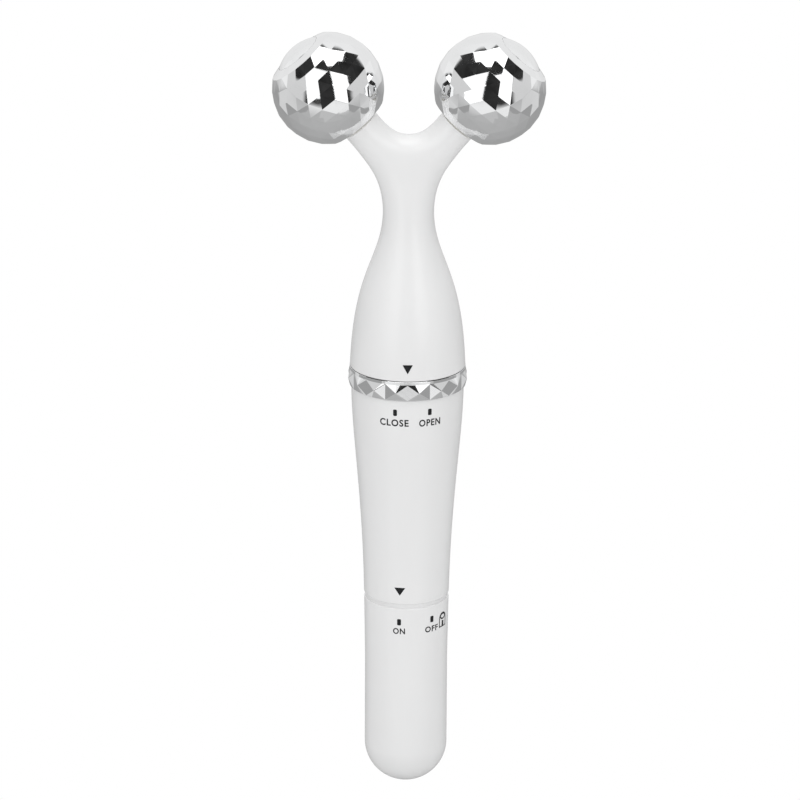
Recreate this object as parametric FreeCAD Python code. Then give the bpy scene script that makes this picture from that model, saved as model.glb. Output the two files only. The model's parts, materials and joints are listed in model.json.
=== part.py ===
import FreeCAD, Part
import math
import os

from FreeCAD import Vector

# Facial roller: two faceted balls on a Y head, over a twist-switched battery handle with a vibration motor.
# Millimetres. Z runs up the handle, the front faces -Y, the origin is the centre of the round handle end.

# Clearances
FIT = 0.05           # running fit of a shaft in its bush, radial
TWIST_FIT = 0.08     # running fit of the two twist joints, radial
SEAT = 0.03          # room between pieces that are fitted and stay put
END_PLAY = 0.12      # room between end faces that turn on each other
LUG_PLAY = 0.15      # room of a bayonet lug in its track
LUG_PLAY_DEG = 2.0   # room of a lug at the ends of its track
SEAL_PLAY = 0.04     # room between a seal ring and the bore it wipes
EDGE = 0.35          # broken edges of the mouldings

# Battery cell, and the tube and end cap round it
CELL_R = 7.25
CELL_BODY_L = 49.5
CELL_NUB_R = 2.75
CELL_NUB_H = 1.0
CELL_ROOM = 0.2
TUBE_WALL = 1.22
CAP_WALL = 1.1
CAP_HOLD_L = 22.0    # straight length, above which the cap widens to its rim
CAP_FLARE = 0.25
CAP_DOME_WALL = 2.0
CAP_TWIST_DEG = 70.3
CAP_LUG_DROP = 8.0
CAP_LUG_H = 1.6
CAP_LUG_DEG = 20.0
CAP_LUG_DEPTH = 0.5
CAP_LUGS = 2
SPIGOT_CLEAR = 7.8   # from the cap's contact plate up to the spigot
SEAM_GAP = 0.2
SEAM_DEPTH = 0.15
COLLAR_H = 1.0
BULKHEAD_T = 1.5
SEAL_DROP = 3.0
SEAL_DEPTH = 0.6

# Contacts and leads
CONTACT_T = 0.4
CONTACT_W = 5.0
CONTACT_TAIL = 2.5
STRIP_T = 0.2
STRIP_W = 2.4
TAB_W = 2.0
TAB_RISE = 2.2
SPRING_H = 6.0
SPRING_COIL_R = 3.6
SPRING_WIRE_R = 0.35
SPRING_TURNS = 4
SPRING_STEPS = 8     # points in a turn of the coil
PLATE_T = 0.4
FINGER_T = 0.4
LEAD_R = 0.45
LEAD_SPAN = 4.0
LEAD_CLEAR = 0.3     # from a lead to the wall of the carrier

# Vibration motor
CRADLE_WALL = 1.65
CRADLE_TOP_T = 1.2
LEAD_ROOM = 3.5
MOTOR_R = 7.75
MOTOR_L = 17.0
MOTOR_WALL = 0.6
MOTOR_BOSS_R = 3.0
END_BELL_T = 2.0
SHAFT_R = 1.0
MAGNET_T = 1.3
MAGNET_L = 9.0
MAGNET_DEG = 100.0
AIR_GAP = 0.65       # armature to magnets
FLAT_GAP = 0.33      # armature to the can's flats
POLES = 3
POLE_DEG = 84.0
POLE_FACE_T = 1.0
POLE_NECK_W = 1.8
MOTOR_SCREW_R = 0.8
MOTOR_SCREW_HEAD_R = 1.4
MOTOR_SCREW_HEAD_H = 0.7
MOTOR_SCREW_CLEAR = 0.2
WEIGHT_R = 5.5
WEIGHT_HUB_R = 2.0
WEIGHT_L = 5.0
WEIGHT_CLEAR = 0.5

# Bayonet between handle and head
SOCKET_WALL = 0.7
SOCKET_L = 11.0
SOCKET_RISE = 3.55   # from the motor's carrier up to the socket
PLUG_R = 9.8
PLUG_WALL = 1.6
PLUG_RISE = 0.5
HEAD_CLOSE_DEG = 12.7
HEAD_OPEN_DEG = 23.2
HEAD_LUGS = 3
HEAD_LUG_DEG = 24.0
HEAD_LUG_H = 2.0
HEAD_LUG_DEPTH = 0.55
HEAD_LUG_RISE = 1.0
RING_CORD_R = 0.5
RING_CORD_RISE = 7.0
FLANGE_T = 1.5
FLANGE_RECESS = 1.5
EYE_MARGIN = 1.1

# Handle sleeve and trim ring
SLEEVE_L = 52.6
SLEEVE_WALL = 1.45
SLEEVE_LOW_SWELL = 0.5
SLEEVE_LOW_H = 25.6
SLEEVE_HIGH_SWELL = 0.06
SLEEVE_HIGH_H = 11.7
SLEEVE_LIP = 1.3
RING_SEAT_WALL = 0.77
RING_H = 4.5
RING_T = 1.75
RING_STUD_RISE = 0.55
RING_STUDS = 16

# Head
HEAD_GAP = 0.3
HEAD_H = 37.9
HEAD_LIP = 1.66
HEAD_LOW_DRAW = 0.74
HEAD_LOW_H = 23.8
HEAD_HIGH_SWELL = 0.32
HEAD_HIGH_H = 12.3
NECK_R = 5.93
HEAD_WALL = 1.6
CAVITY_CROWN = 8.0
FORK_RISE = 7.7
ARM_R = 4.55
ARM_TILT_DEG = 49.5
ARM_REACH = 15.46    # from the end of the saddle's bend to the ball's centre
SADDLE_R = 7.1
FORK_LEVELS = 5
FORK_SKIN = 0.15
BOSS_R = 2.2
BOSS_H = 7.0
BOSS_ANGLES = (45.0, 135.0, 225.0, 315.0)
RIB_T = 1.6

# Screws
SCREW_R = 0.9
SCREW_L = 6.0
SCREW_HEAD_R = 1.7
SCREW_HEAD_H = 1.2
SCREW_MARGIN = 0.5
CROSS_LENGTH = 1.1   # cross recess, as shares of the head's radius and height
CROSS_WIDTH = 0.22
CROSS_DEPTH = 0.4

# Rollers, along each axle from the ball's centre
BALL_R = 13.15
BALL_WALL = 1.9
INNER_FLAT_R = 7.85
OUTER_FLAT_R = 8.35
BALL_ROWS = 8
BALL_FACETS = 22
POLE_WALL = 2.8
COLLAR_DISC_R = 5.6
COLLAR_DISC_T = 1.4
COLLAR_PROUD = 0.2
POLE_RIM_RISE = 0.8  # low cone round the outer pole's hole
POLE_RIM_LIP = 0.15
POLE_RIM_LAND = 0.1
DOME_R = 5.7
DOME_RISE = 1.65
DOME_PLUG_L = 2.0
DOME_ROOM_L = 2.5
DOME_ROOM = 0.4      # from the washer to the hollow of the dome
HUB_WALL = 0.97
HUB_FLANGE_T = 1.2
BUSH_WALL = 0.85
BUSH_L = 5.0
BUSH_LIP = 0.6
BUSH_FLANGE_T = 0.3
AXLE_R = 1.5
AXLE_PARTING = 1.38  # from an axle's head to the middle of the fork
AXLE_HEAD_LIP = 0.9
AXLE_HEAD_T = 1.6
WASHER_T = 0.5

# Radii worked out from the sizes above
TUBE_BORE_R = CELL_R + CELL_ROOM
TUBE_R = TUBE_BORE_R + TUBE_WALL
CAP_BORE_R = TUBE_R + TWIST_FIT
CAP_R = CAP_BORE_R + CAP_WALL
COLLAR_R = CAP_R - SEAM_DEPTH
CRADLE_R = MOTOR_R + CRADLE_WALL
MAGNET_R = MOTOR_R - MOTOR_WALL - SEAT
ARMATURE_R = MAGNET_R - MAGNET_T - AIR_GAP
MOTOR_FLAT = ARMATURE_R + FLAT_GAP + MOTOR_WALL
MOTOR_SCREW_PITCH = MOTOR_BOSS_R + MOTOR_SCREW_HEAD_R + MOTOR_SCREW_CLEAR
LEAD_X = math.sqrt((MOTOR_R - LEAD_CLEAR) ** 2 - (LEAD_SPAN / 2) ** 2) - LEAD_SPAN / 2 - LEAD_R
TAB_X = LEAD_X - CONTACT_T / 2 - SEAT
HEAD_TRACK_R = PLUG_R + HEAD_LUG_DEPTH + LUG_PLAY
SOCKET_R = HEAD_TRACK_R + SOCKET_WALL
RING_SEAT_R = SOCKET_R + SEAT + RING_SEAT_WALL
RING_CORNER_R = RING_SEAT_R + RING_T
RING_STUD_R = RING_CORNER_R + RING_STUD_RISE
SLEEVE_FOOT_R = TUBE_R + SEAT + SLEEVE_WALL
SLEEVE_LOW_R = SLEEVE_FOOT_R + SLEEVE_LOW_SWELL
SLEEVE_TOP_R = RING_SEAT_R + SLEEVE_LIP
SLEEVE_HIGH_R = SLEEVE_TOP_R + SLEEVE_HIGH_SWELL
HEAD_FOOT_R = RING_SEAT_R + HEAD_LIP
HEAD_LOW_R = HEAD_FOOT_R - HEAD_LOW_DRAW
HEAD_HIGH_R = NECK_R + HEAD_HIGH_SWELL
BOSS_PITCH = PLUG_R - PLUG_WALL - SCREW_HEAD_R - SCREW_MARGIN
FLANGE_EYE_R = BOSS_PITCH - SCREW_HEAD_R - EYE_MARGIN
BUSH_R = AXLE_R + FIT + BUSH_WALL
BUSH_FLANGE_R = BUSH_R + BUSH_LIP
HUB_R = BUSH_R + SEAT + HUB_WALL
WASHER_R = BUSH_FLANGE_R
DOME_ROOM_R = WASHER_R + DOME_ROOM
AXLE_HEAD_R = AXLE_R + AXLE_HEAD_LIP

# Heights worked out from the sizes above
TUBE_Z = PLATE_T + SPIGOT_CLEAR
CELL_Z = PLATE_T + SPRING_H + END_PLAY
CELL_TOP_Z = CELL_Z + CELL_BODY_L
BULKHEAD_Z = CELL_TOP_Z + CELL_NUB_H + SEAT + CONTACT_T
CRADLE_Z = BULKHEAD_Z + BULKHEAD_T
LEAD_Z = CRADLE_Z + TAB_RISE / 2
MOTOR_Z = CRADLE_Z + LEAD_ROOM
MOTOR_TOP_Z = MOTOR_Z + MOTOR_L
CRADLE_TOP_Z = MOTOR_TOP_Z + CRADLE_TOP_T
WEIGHT_Z = CRADLE_TOP_Z + MOTOR_SCREW_HEAD_H + WEIGHT_CLEAR
SOCKET_Z = CRADLE_TOP_Z + SOCKET_RISE
PLUG_Z = SOCKET_Z + PLUG_RISE
RING_SEAT_TOP_Z = SOCKET_Z + SOCKET_L
RING_TOP_Z = RING_SEAT_TOP_Z + HEAD_GAP
SLEEVE_TOP_Z = RING_TOP_Z - RING_H
SLEEVE_Z = SLEEVE_TOP_Z - SLEEVE_L
COLLAR_Z = SLEEVE_Z - COLLAR_H
CAP_STRAIGHT = COLLAR_Z - SEAM_GAP
HEAD_Z = RING_TOP_Z + HEAD_GAP
FLANGE_Z = HEAD_Z + FLANGE_RECESS
FLANGE_TOP_Z = FLANGE_Z + FLANGE_T
NECK_Z = HEAD_Z + HEAD_H
FORK_Z = NECK_Z + FORK_RISE

# Places along an axle, measured outwards from the ball's centre, and along an arm from the fork
BALL_INNER_FLAT = math.sqrt(BALL_R ** 2 - INNER_FLAT_R ** 2)
BALL_OUTER_FLAT = math.sqrt(BALL_R ** 2 - OUTER_FLAT_R ** 2)
DOME_BASE = BALL_OUTER_FLAT + POLE_RIM_RISE
ARM_GAP = COLLAR_PROUD + BUSH_FLANGE_T + END_PLAY + WASHER_T
ARM_END = -(BALL_INNER_FLAT + ARM_GAP)
HUB_IN = -(BALL_INNER_FLAT + COLLAR_PROUD - COLLAR_DISC_T)
HUB_OUT = BALL_OUTER_FLAT - DOME_PLUG_L
AXLE_END = HUB_OUT + END_PLAY
ARM_TILT = math.radians(ARM_TILT_DEG)
BEND_R = SADDLE_R + ARM_R
BEND_END = BEND_R * math.tan(ARM_TILT)
BALL_REACH = BEND_END + ARM_REACH
AXLE_START = (AXLE_PARTING + AXLE_HEAD_R * math.sin(ARM_TILT)) / math.cos(ARM_TILT) - BALL_REACH

UP = Vector(0, 0, 1)
CENTRE = Vector(0, 0, 0)


def disc(radius, z0, z1):
    """Solid cylinder on the Z axis between two heights."""
    return Part.makeCylinder(radius, z1 - z0, Vector(0, 0, z0))


def tube(outer, inner, z0, z1):
    """Cylinder with a bore, between two heights."""
    return disc(outer, z0, z1).cut(disc(inner, z0, z1))


def block(x0, x1, y0, y1, z0, z1):
    """Box between two corners."""
    return Part.makeBox(x1 - x0, y1 - y0, z1 - z0, Vector(x0, y0, z0))


def sector(outer, inner, z0, z1, start_deg, end_deg):
    """Part of a tube between two angles about Z."""
    wedge = Part.makeCylinder(outer, z1 - z0, Vector(0, 0, z0), UP, end_deg - start_deg)
    wedge.rotate(CENTRE, UP, start_deg)
    return wedge.cut(disc(inner, z0, z1))


def lathe(edges):
    """Solid of revolution about Z from a closed outline of edges in the XZ plane."""
    face = Part.Face(Part.Wire(Part.__sortEdges__(edges)))
    return face.revolve(CENTRE, UP, 360)


def turned(points):
    """Solid of revolution about Z from a closed outline of (radius, height) corners."""
    corners = [Vector(r, 0, z) for r, z in points]
    return lathe(Part.makePolygon(corners + corners[:1]).Edges)


def taper(foot, low, high, top):
    """Smooth edge from foot to top, drawn towards two (radius, height) points."""
    curve = Part.BezierCurve()
    curve.setPoles([Vector(r, 0, z) for r, z in (foot, low, high, top)])
    return curve.toShape()


def chain(points):
    """Straight edges through (radius, height) points."""
    return Part.makePolygon([Vector(r, 0, z) for r, z in points]).Edges


def around(shape, angles):
    """Copies of a shape turned about Z, one for each angle."""
    copies = []
    for angle in angles:
        copy = shape.copy()
        copy.rotate(CENTRE, UP, angle)
        copies.append(copy)
    return copies


def even_angles(count):
    """Angles of a pattern that is evenly spaced about Z."""
    return [360.0 * i / count for i in range(count)]


def joined(shapes):
    """One solid from overlapping shapes."""
    return shapes[0].multiFuse(shapes[1:]).removeSplitter()


def screw(shank_r, shank_l, head_r, head_h):
    """Pan-head screw that points up, with the underside of its head at height zero and a cross recess."""
    body = joined([disc(head_r, -head_h, 0), disc(shank_r, -head_h / 2, shank_l)])
    long_half = head_r * CROSS_LENGTH / 2
    wide_half = head_r * CROSS_WIDTH / 2
    depth = head_h * CROSS_DEPTH
    for half_x, half_y in ((long_half, wide_half), (wide_half, long_half)):
        body = body.cut(block(-half_x, half_x, -half_y, half_y, -head_h, depth - head_h))
    return body


def faceted(loops):
    """Closed solid from flat faces, each given by its corner points."""
    faces = [Part.Face(Part.makePolygon(loop + loop[:1])) for loop in loops]
    shell = Part.makeShell(faces)
    shell.sewShape()
    solid = Part.makeSolid(shell)
    if solid.Volume < 0:
        solid.reverse()
    return solid


def ring_point(radius, angle_deg, z):
    """Point at a radius and angle about Z."""
    angle = math.radians(angle_deg)
    return Vector(radius * math.cos(angle), radius * math.sin(angle), z)


# End cap and battery

def end_cap():
    """Round-ended cap with bayonet lugs inside: the twist switch and battery door."""
    rim = CAP_STRAIGHT
    mid = CAP_R * math.sqrt(0.5)
    dome = Part.Arc(Vector(0, 0, -CAP_R), Vector(mid, 0, -mid), Vector(CAP_R, 0, 0)).toShape()
    rim_r = CAP_R + CAP_FLARE
    wall = chain([(CAP_R, 0), (CAP_R, CAP_HOLD_L), (rim_r, rim - EDGE), (rim_r - EDGE, rim), (0, rim), (0, -CAP_R)])
    body = lathe([dome] + wall)
    pocket = Part.makeSphere(CAP_R - CAP_DOME_WALL).cut(disc(CAP_R, 0, CAP_R))
    body = body.cut(pocket).cut(disc(CAP_BORE_R, 0, rim))
    lug_z = rim - CAP_LUG_DROP
    half = CAP_LUG_DEG / 2
    root_r = CAP_BORE_R + CAP_WALL / 2
    lug = sector(root_r, CAP_BORE_R - CAP_LUG_DEPTH, lug_z, lug_z + CAP_LUG_H, -half, half)
    return joined([body] + around(lug, even_angles(CAP_LUGS)))


def seal_cord_r():
    """Radius of the cap seal's cord, which fills its groove and wipes the cap's bore."""
    return (SEAL_DEPTH + TWIST_FIT - SEAL_PLAY - SEAT) / 2


def tab_slot(x0, x1):
    """Slot for a contact tab through the bulkhead."""
    half = TAB_W / 2 + SEAT
    return block(x0 - SEAT, x1 + SEAT, -half, half, BULKHEAD_Z, CRADLE_Z)


def battery_tube():
    """Tube for the cell: spigot for the cap, collar that shows in the seam, bulkhead on top."""
    body = joined([disc(TUBE_R, TUBE_Z, CRADLE_Z), disc(COLLAR_R, COLLAR_Z, SLEEVE_Z)])
    body = body.cut(disc(TUBE_BORE_R, TUBE_Z, BULKHEAD_Z))
    seal_z = CAP_STRAIGHT - SEAL_DROP
    seal_half = seal_cord_r() + SEAT
    body = body.cut(tube(TUBE_R, TUBE_R - SEAL_DEPTH, seal_z - seal_half, seal_z + seal_half))
    track_r = CAP_BORE_R - CAP_LUG_DEPTH - LUG_PLAY
    track_z = CAP_STRAIGHT - CAP_LUG_DROP - LUG_PLAY
    track_top = track_z + CAP_LUG_H + 2 * LUG_PLAY
    half = CAP_LUG_DEG / 2 + LUG_PLAY_DEG
    track = sector(TUBE_R, track_r, track_z, track_top, -CAP_TWIST_DEG - half, half)
    entry = sector(TUBE_R, track_r, TUBE_Z, track_z, -CAP_TWIST_DEG - half, half - CAP_TWIST_DEG)
    for cutter in around(track, even_angles(CAP_LUGS)) + around(entry, even_angles(CAP_LUGS)):
        body = body.cut(cutter)
    channel_w = STRIP_W / 2 + SEAT
    channel_x = TUBE_BORE_R + STRIP_T + SEAT
    body = body.cut(block(-channel_x, -CELL_R, -channel_w, channel_w, TUBE_Z, BULKHEAD_Z))
    face = TAB_X + CONTACT_T / 2
    body = body.cut(tab_slot(face - CONTACT_T, face))
    return body.cut(tab_slot(-face, STRIP_T - face))


def cap_seal_ring():
    """Rubber ring in the spigot's groove."""
    cord = seal_cord_r()
    major = TUBE_R - SEAL_DEPTH + SEAT + cord
    return Part.makeTorus(major, cord, Vector(0, 0, CAP_STRAIGHT - SEAL_DROP))


def battery():
    """One cylindrical cell with its raised contact."""
    nub_top = CELL_TOP_Z + CELL_NUB_H
    return joined([disc(CELL_R, CELL_Z, CELL_TOP_Z), disc(CELL_NUB_R, CELL_TOP_Z, nub_top)])


def positive_contact():
    """Plate under the bulkhead with a solder tab through it."""
    face = TAB_X + CONTACT_T / 2
    half = CONTACT_W / 2
    plate_z = BULKHEAD_Z - CONTACT_T
    plate = block(-CONTACT_TAIL, face, -half, half, plate_z, BULKHEAD_Z)
    tab = block(face - CONTACT_T, face, -TAB_W / 2, TAB_W / 2, plate_z, CRADLE_Z + TAB_RISE)
    return joined([plate, tab])


def strip_foot_z():
    """Underside of the strip's foot, which the switch finger meets."""
    return TUBE_Z - SEAT - STRIP_T


def negative_strip():
    """Strip along the cell from the spigot's end to a solder tab above the bulkhead."""
    half = STRIP_W / 2
    outer = -(TUBE_BORE_R + STRIP_T)
    face = -(TAB_X + CONTACT_T / 2)
    top = BULKHEAD_Z - SEAT
    foot_z = strip_foot_z()
    upright = block(outer, -TUBE_BORE_R, -half, half, foot_z, top)
    foot = block(-(TUBE_R - EDGE), -TUBE_BORE_R, -half, half, foot_z, foot_z + STRIP_T)
    run = block(outer, face + STRIP_T, -half, half, top - STRIP_T, top)
    tab = block(face, face + STRIP_T, -TAB_W / 2, TAB_W / 2, top - STRIP_T, CRADLE_Z + TAB_RISE)
    return joined([upright, foot, run, tab])


def battery_spring():
    """Coil spring under the cell, one tube along quarter-turn arcs."""
    low = PLATE_T + SPRING_WIRE_R
    climb = SPRING_H - 2 * SPRING_WIRE_R
    steps = SPRING_STEPS * SPRING_TURNS
    turn = 360.0 / SPRING_STEPS
    points = [ring_point(SPRING_COIL_R, turn * i, low + climb * i / steps) for i in range(steps + 1)]
    arcs = [Part.Arc(*points[i:i + 3]).toShape() for i in range(0, steps, 2)]
    start = arcs[0].tangentAt(arcs[0].FirstParameter)
    section = Part.Wire(Part.Circle(points[0], start, SPRING_WIRE_R).toShape())
    print("spring gap between turns", round(climb / SPRING_TURNS - 2 * SPRING_WIRE_R, 3))
    return Part.Wire(arcs).makePipeShell([section], True, False)


def spring_plate():
    """Contact plate on the ledge at the bottom of the cap."""
    return disc(CAP_BORE_R - SEAT, 0, PLATE_T)


def switch_finger():
    """Upright contact on the plate: it meets the strip's foot when the switch is on."""
    inner = -TUBE_BORE_R
    return block(inner - FINGER_T, inner, -TAB_W / 2, TAB_W / 2, PLATE_T, strip_foot_z() - END_PLAY)


# Handle

def handle_sleeve():
    """Tapered grip with stepped bores and a spigot that carries the trim ring."""
    low_z = SLEEVE_Z + EDGE
    high_z = SLEEVE_TOP_Z - EDGE
    grip = taper((SLEEVE_FOOT_R, low_z), (SLEEVE_LOW_R, SLEEVE_Z + SLEEVE_LOW_H),
                 (SLEEVE_HIGH_R, SLEEVE_TOP_Z - SLEEVE_HIGH_H), (SLEEVE_TOP_R, high_z))
    tube_r = TUBE_R + SEAT
    cradle_r = CRADLE_R + SEAT
    socket_r = SOCKET_R + SEAT
    rest = chain([(SLEEVE_TOP_R, high_z), (SLEEVE_TOP_R - EDGE, SLEEVE_TOP_Z), (RING_SEAT_R, SLEEVE_TOP_Z),
                  (RING_SEAT_R, RING_SEAT_TOP_Z), (socket_r, RING_SEAT_TOP_Z), (socket_r, SOCKET_Z),
                  (cradle_r, SOCKET_Z), (cradle_r, CRADLE_Z), (tube_r, CRADLE_Z), (tube_r, SLEEVE_Z),
                  (SLEEVE_FOOT_R - EDGE, SLEEVE_Z), (SLEEVE_FOOT_R, low_z)])
    return lathe([grip] + rest)


def trim_ring():
    """Bright ring of four-sided studs set side by side."""
    step = 360.0 / RING_STUDS
    middle = (SLEEVE_TOP_Z + RING_TOP_Z) / 2
    lower = [ring_point(RING_CORNER_R, step * i, SLEEVE_TOP_Z) for i in range(RING_STUDS)]
    upper = [ring_point(RING_CORNER_R, step * i, RING_TOP_Z) for i in range(RING_STUDS)]
    loops = [lower, upper]
    for i in range(RING_STUDS):
        after = (i + 1) % RING_STUDS
        tip = ring_point(RING_STUD_R, step * (i + 0.5), middle)
        corners = [lower[i], lower[after], upper[after], upper[i]]
        loops += [[corners[k], corners[(k + 1) % 4], tip] for k in range(4)]
    return faceted(loops).cut(disc(RING_SEAT_R + SEAT, SLEEVE_TOP_Z, RING_TOP_Z))


def head_lug_z():
    """Underside of the plug's lugs."""
    return PLUG_Z + HEAD_LUG_RISE


def bayonet_socket():
    """Ring in the sleeve with one track and one entry for each lug of the head."""
    body = tube(SOCKET_R, PLUG_R + TWIST_FIT, SOCKET_Z, RING_SEAT_TOP_Z)
    track_z = head_lug_z() - LUG_PLAY
    track_top = track_z + HEAD_LUG_H + 2 * LUG_PLAY
    half = HEAD_LUG_DEG / 2 + LUG_PLAY_DEG
    core_r = PLUG_R - PLUG_WALL
    track = sector(HEAD_TRACK_R, core_r, track_z, track_top,
                   -HEAD_CLOSE_DEG - half, HEAD_OPEN_DEG + half)
    entry = sector(HEAD_TRACK_R, core_r, track_top, RING_SEAT_TOP_Z,
                   HEAD_OPEN_DEG - half, HEAD_OPEN_DEG + half)
    for cutter in around(track, even_angles(HEAD_LUGS)) + around(entry, even_angles(HEAD_LUGS)):
        body = body.cut(cutter)
    return body


# Vibration motor

def motor_outline(inset, z0, z1):
    """Round body with two flats, drawn in by an inset."""
    flat = MOTOR_FLAT - inset
    return disc(MOTOR_R - inset, z0, z1).common(block(-MOTOR_R, MOTOR_R, -flat, flat, z0, z1))


def side_pair(shape):
    """A shape and its copy turned half round."""
    return around(shape, (0.0, 180.0))


def motor_screw_holes(z0, z1):
    """Holes for the two screws that hold the motor."""
    hole = disc(MOTOR_SCREW_R + SEAT, z0, z1)
    hole.translate(Vector(MOTOR_SCREW_PITCH, 0, 0))
    return side_pair(hole)


def motor_can():
    """Steel can with its front bearing boss."""
    can_z = MOTOR_Z + END_BELL_T
    body = motor_outline(0, can_z, MOTOR_TOP_Z)
    body = joined([body, disc(MOTOR_BOSS_R, MOTOR_TOP_Z, CRADLE_TOP_Z)])
    body = body.cut(motor_outline(MOTOR_WALL, can_z, MOTOR_TOP_Z - MOTOR_WALL))
    body = body.cut(disc(SHAFT_R + FIT, can_z, CRADLE_TOP_Z))
    for hole in motor_screw_holes(can_z, MOTOR_TOP_Z):
        body = body.cut(hole)
    return body


def terminal_blocks(room):
    """The two terminals, larger all round by a room where they are slots."""
    face = TAB_X + CONTACT_T / 2 + room
    half = TAB_W / 2 + room
    z0 = LEAD_Z - 2 * LEAD_R
    z1 = MOTOR_Z + END_BELL_T
    x0 = face - CONTACT_T - 2 * room
    return [block(x0, face, -LEAD_SPAN - half, half - LEAD_SPAN, z0, z1),
            block(-face, -x0, -LEAD_SPAN - half, half - LEAD_SPAN, z0, z1)]


def motor_end_bell():
    """Plastic end of the motor with its rear bearing and terminal slots."""
    body = motor_outline(0, MOTOR_Z, MOTOR_Z + END_BELL_T)
    body = body.cut(disc(SHAFT_R + FIT, MOTOR_Z + END_BELL_T / 2, MOTOR_Z + END_BELL_T))
    for slot in terminal_blocks(SEAT):
        body = body.cut(slot)
    return body


def stack_heights():
    """Lower and upper height of magnets and armature, in the middle of the can."""
    middle = (MOTOR_Z + END_BELL_T + MOTOR_TOP_Z - MOTOR_WALL) / 2
    return middle - MAGNET_L / 2, middle + MAGNET_L / 2


def motor_magnets():
    """Two magnet arcs inside the can."""
    z0, z1 = stack_heights()
    half = MAGNET_DEG / 2
    arc = sector(MAGNET_R, MAGNET_R - MAGNET_T, z0, z1, -half, half)
    return Part.makeCompound(side_pair(arc.common(motor_outline(MOTOR_WALL + SEAT, z0, z1))))


def motor_armature():
    """Three-pole armature on the shaft."""
    z0, z1 = stack_heights()
    face = sector(ARMATURE_R, ARMATURE_R - POLE_FACE_T, z0, z1, -POLE_DEG / 2, POLE_DEG / 2)
    neck = block(0, ARMATURE_R - POLE_FACE_T / 2, -POLE_NECK_W / 2, POLE_NECK_W / 2, z0, z1)
    angles = even_angles(POLES)
    body = joined([disc(WEIGHT_HUB_R, z0, z1)] + around(face, angles) + around(neck, angles))
    return body.cut(disc(SHAFT_R + SEAT, z0, z1))


def weight_top():
    """Upper face of the eccentric weight."""
    return WEIGHT_Z + WEIGHT_L


def motor_shaft():
    """Shaft through the motor and the weight."""
    return disc(SHAFT_R, MOTOR_Z + END_BELL_T / 2 + END_PLAY, weight_top() + SHAFT_R)


def eccentric_weight():
    """Half disc that shakes the handle as it turns."""
    top = weight_top()
    lobe = sector(WEIGHT_R, SHAFT_R + SEAT, WEIGHT_Z, top, 0, 180)
    return joined([disc(WEIGHT_HUB_R, WEIGHT_Z, top), lobe]).cut(disc(SHAFT_R + SEAT, WEIGHT_Z, top))


def motor_cradle():
    """Carrier that holds the motor in the sleeve."""
    body = disc(CRADLE_R, CRADLE_Z, CRADLE_TOP_Z)
    body = body.cut(motor_outline(-SEAT, CRADLE_Z, MOTOR_TOP_Z))
    body = body.cut(disc(MOTOR_BOSS_R + SEAT, MOTOR_TOP_Z, CRADLE_TOP_Z))
    for hole in motor_screw_holes(MOTOR_TOP_Z, CRADLE_TOP_Z):
        body = body.cut(hole)
    return body


def motor_screws():
    """Two screws through the carrier into the can."""
    fastener = screw(MOTOR_SCREW_R, CRADLE_TOP_T + 2 * MOTOR_WALL, MOTOR_SCREW_HEAD_R, MOTOR_SCREW_HEAD_H)
    fastener.rotate(CENTRE, Vector(1, 0, 0), 180)
    fastener.translate(Vector(MOTOR_SCREW_PITCH, 0, CRADLE_TOP_Z))
    return Part.makeCompound(side_pair(fastener))


def lead(side):
    """Half-round lead from a contact tab to a motor terminal, on one side of the motor."""
    x = side * LEAD_X
    section = Part.Face(Part.Wire(Part.Circle(Vector(x, 0, LEAD_Z), Vector(1, 0, 0), LEAD_R).toShape()))
    return section.revolve(Vector(x, -LEAD_SPAN / 2, 0), Vector(0, 0, -side), 180)


# Head

def bell(inset):
    """Round part of the head below the neck, drawn in all round by an inset."""
    foot_r = HEAD_FOOT_R - inset
    neck_r = NECK_R - inset
    side = taper((foot_r, HEAD_Z), (HEAD_LOW_R - inset, HEAD_Z + HEAD_LOW_H),
                 (HEAD_HIGH_R - inset, NECK_Z - HEAD_HIGH_H), (neck_r, NECK_Z))
    return lathe([side] + chain([(neck_r, NECK_Z), (0, NECK_Z), (0, HEAD_Z), (foot_r, HEAD_Z)]))


def saddle_centre_z():
    """Height of the middle of the saddle's curve, which is tangent to both arms."""
    return FORK_Z + BEND_R / math.cos(ARM_TILT)


def fork_root():
    """Waist that widens from the round neck to the arms, its side an arc tangent to neck and arm."""
    below_arm = FORK_Z - ARM_R * math.cos(ARM_TILT)
    corner_z = below_arm + (NECK_R - ARM_R * math.sin(ARM_TILT)) * math.tan(ARM_TILT)
    flare = (corner_z - NECK_Z) / math.tan((math.pi / 2 - ARM_TILT) / 2)
    rise = saddle_centre_z() - BEND_R - NECK_Z
    wires = []
    for level in range(FORK_LEVELS):
        share = level / (FORK_LEVELS - 1)
        climb = rise * share
        half_x = NECK_R + flare - math.sqrt(flare ** 2 - climb ** 2) - FORK_SKIN * share
        half_y = NECK_R + (ARM_R - FORK_SKIN - NECK_R) * share
        middle = Vector(0, 0, NECK_Z + climb)
        if level == 0:
            curve = Part.Circle(middle, UP, NECK_R)
        else:
            curve = Part.Ellipse(middle + Vector(half_x, 0, 0), middle + Vector(0, half_y, 0), middle)
        wires.append(Part.Wire(curve.toShape()))
    return Part.makeLoft(wires, True, False)


def arm_direction(side):
    """Unit vector along an arm, outwards."""
    return Vector(side * math.cos(ARM_TILT), 0, math.sin(ARM_TILT))


def saddle_bend():
    """Tube round the bottom of the saddle, from one arm to the other."""
    centre = Vector(0, 0, saddle_centre_z())
    low = centre - UP * BEND_R
    section = Part.Face(Part.Wire(Part.Circle(low, Vector(1, 0, 0), ARM_R).toShape()))
    across = Vector(0, 1, 0)
    section.rotate(centre, across, -ARM_TILT_DEG)
    return section.revolve(centre, across, 2 * ARM_TILT_DEG)


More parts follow.
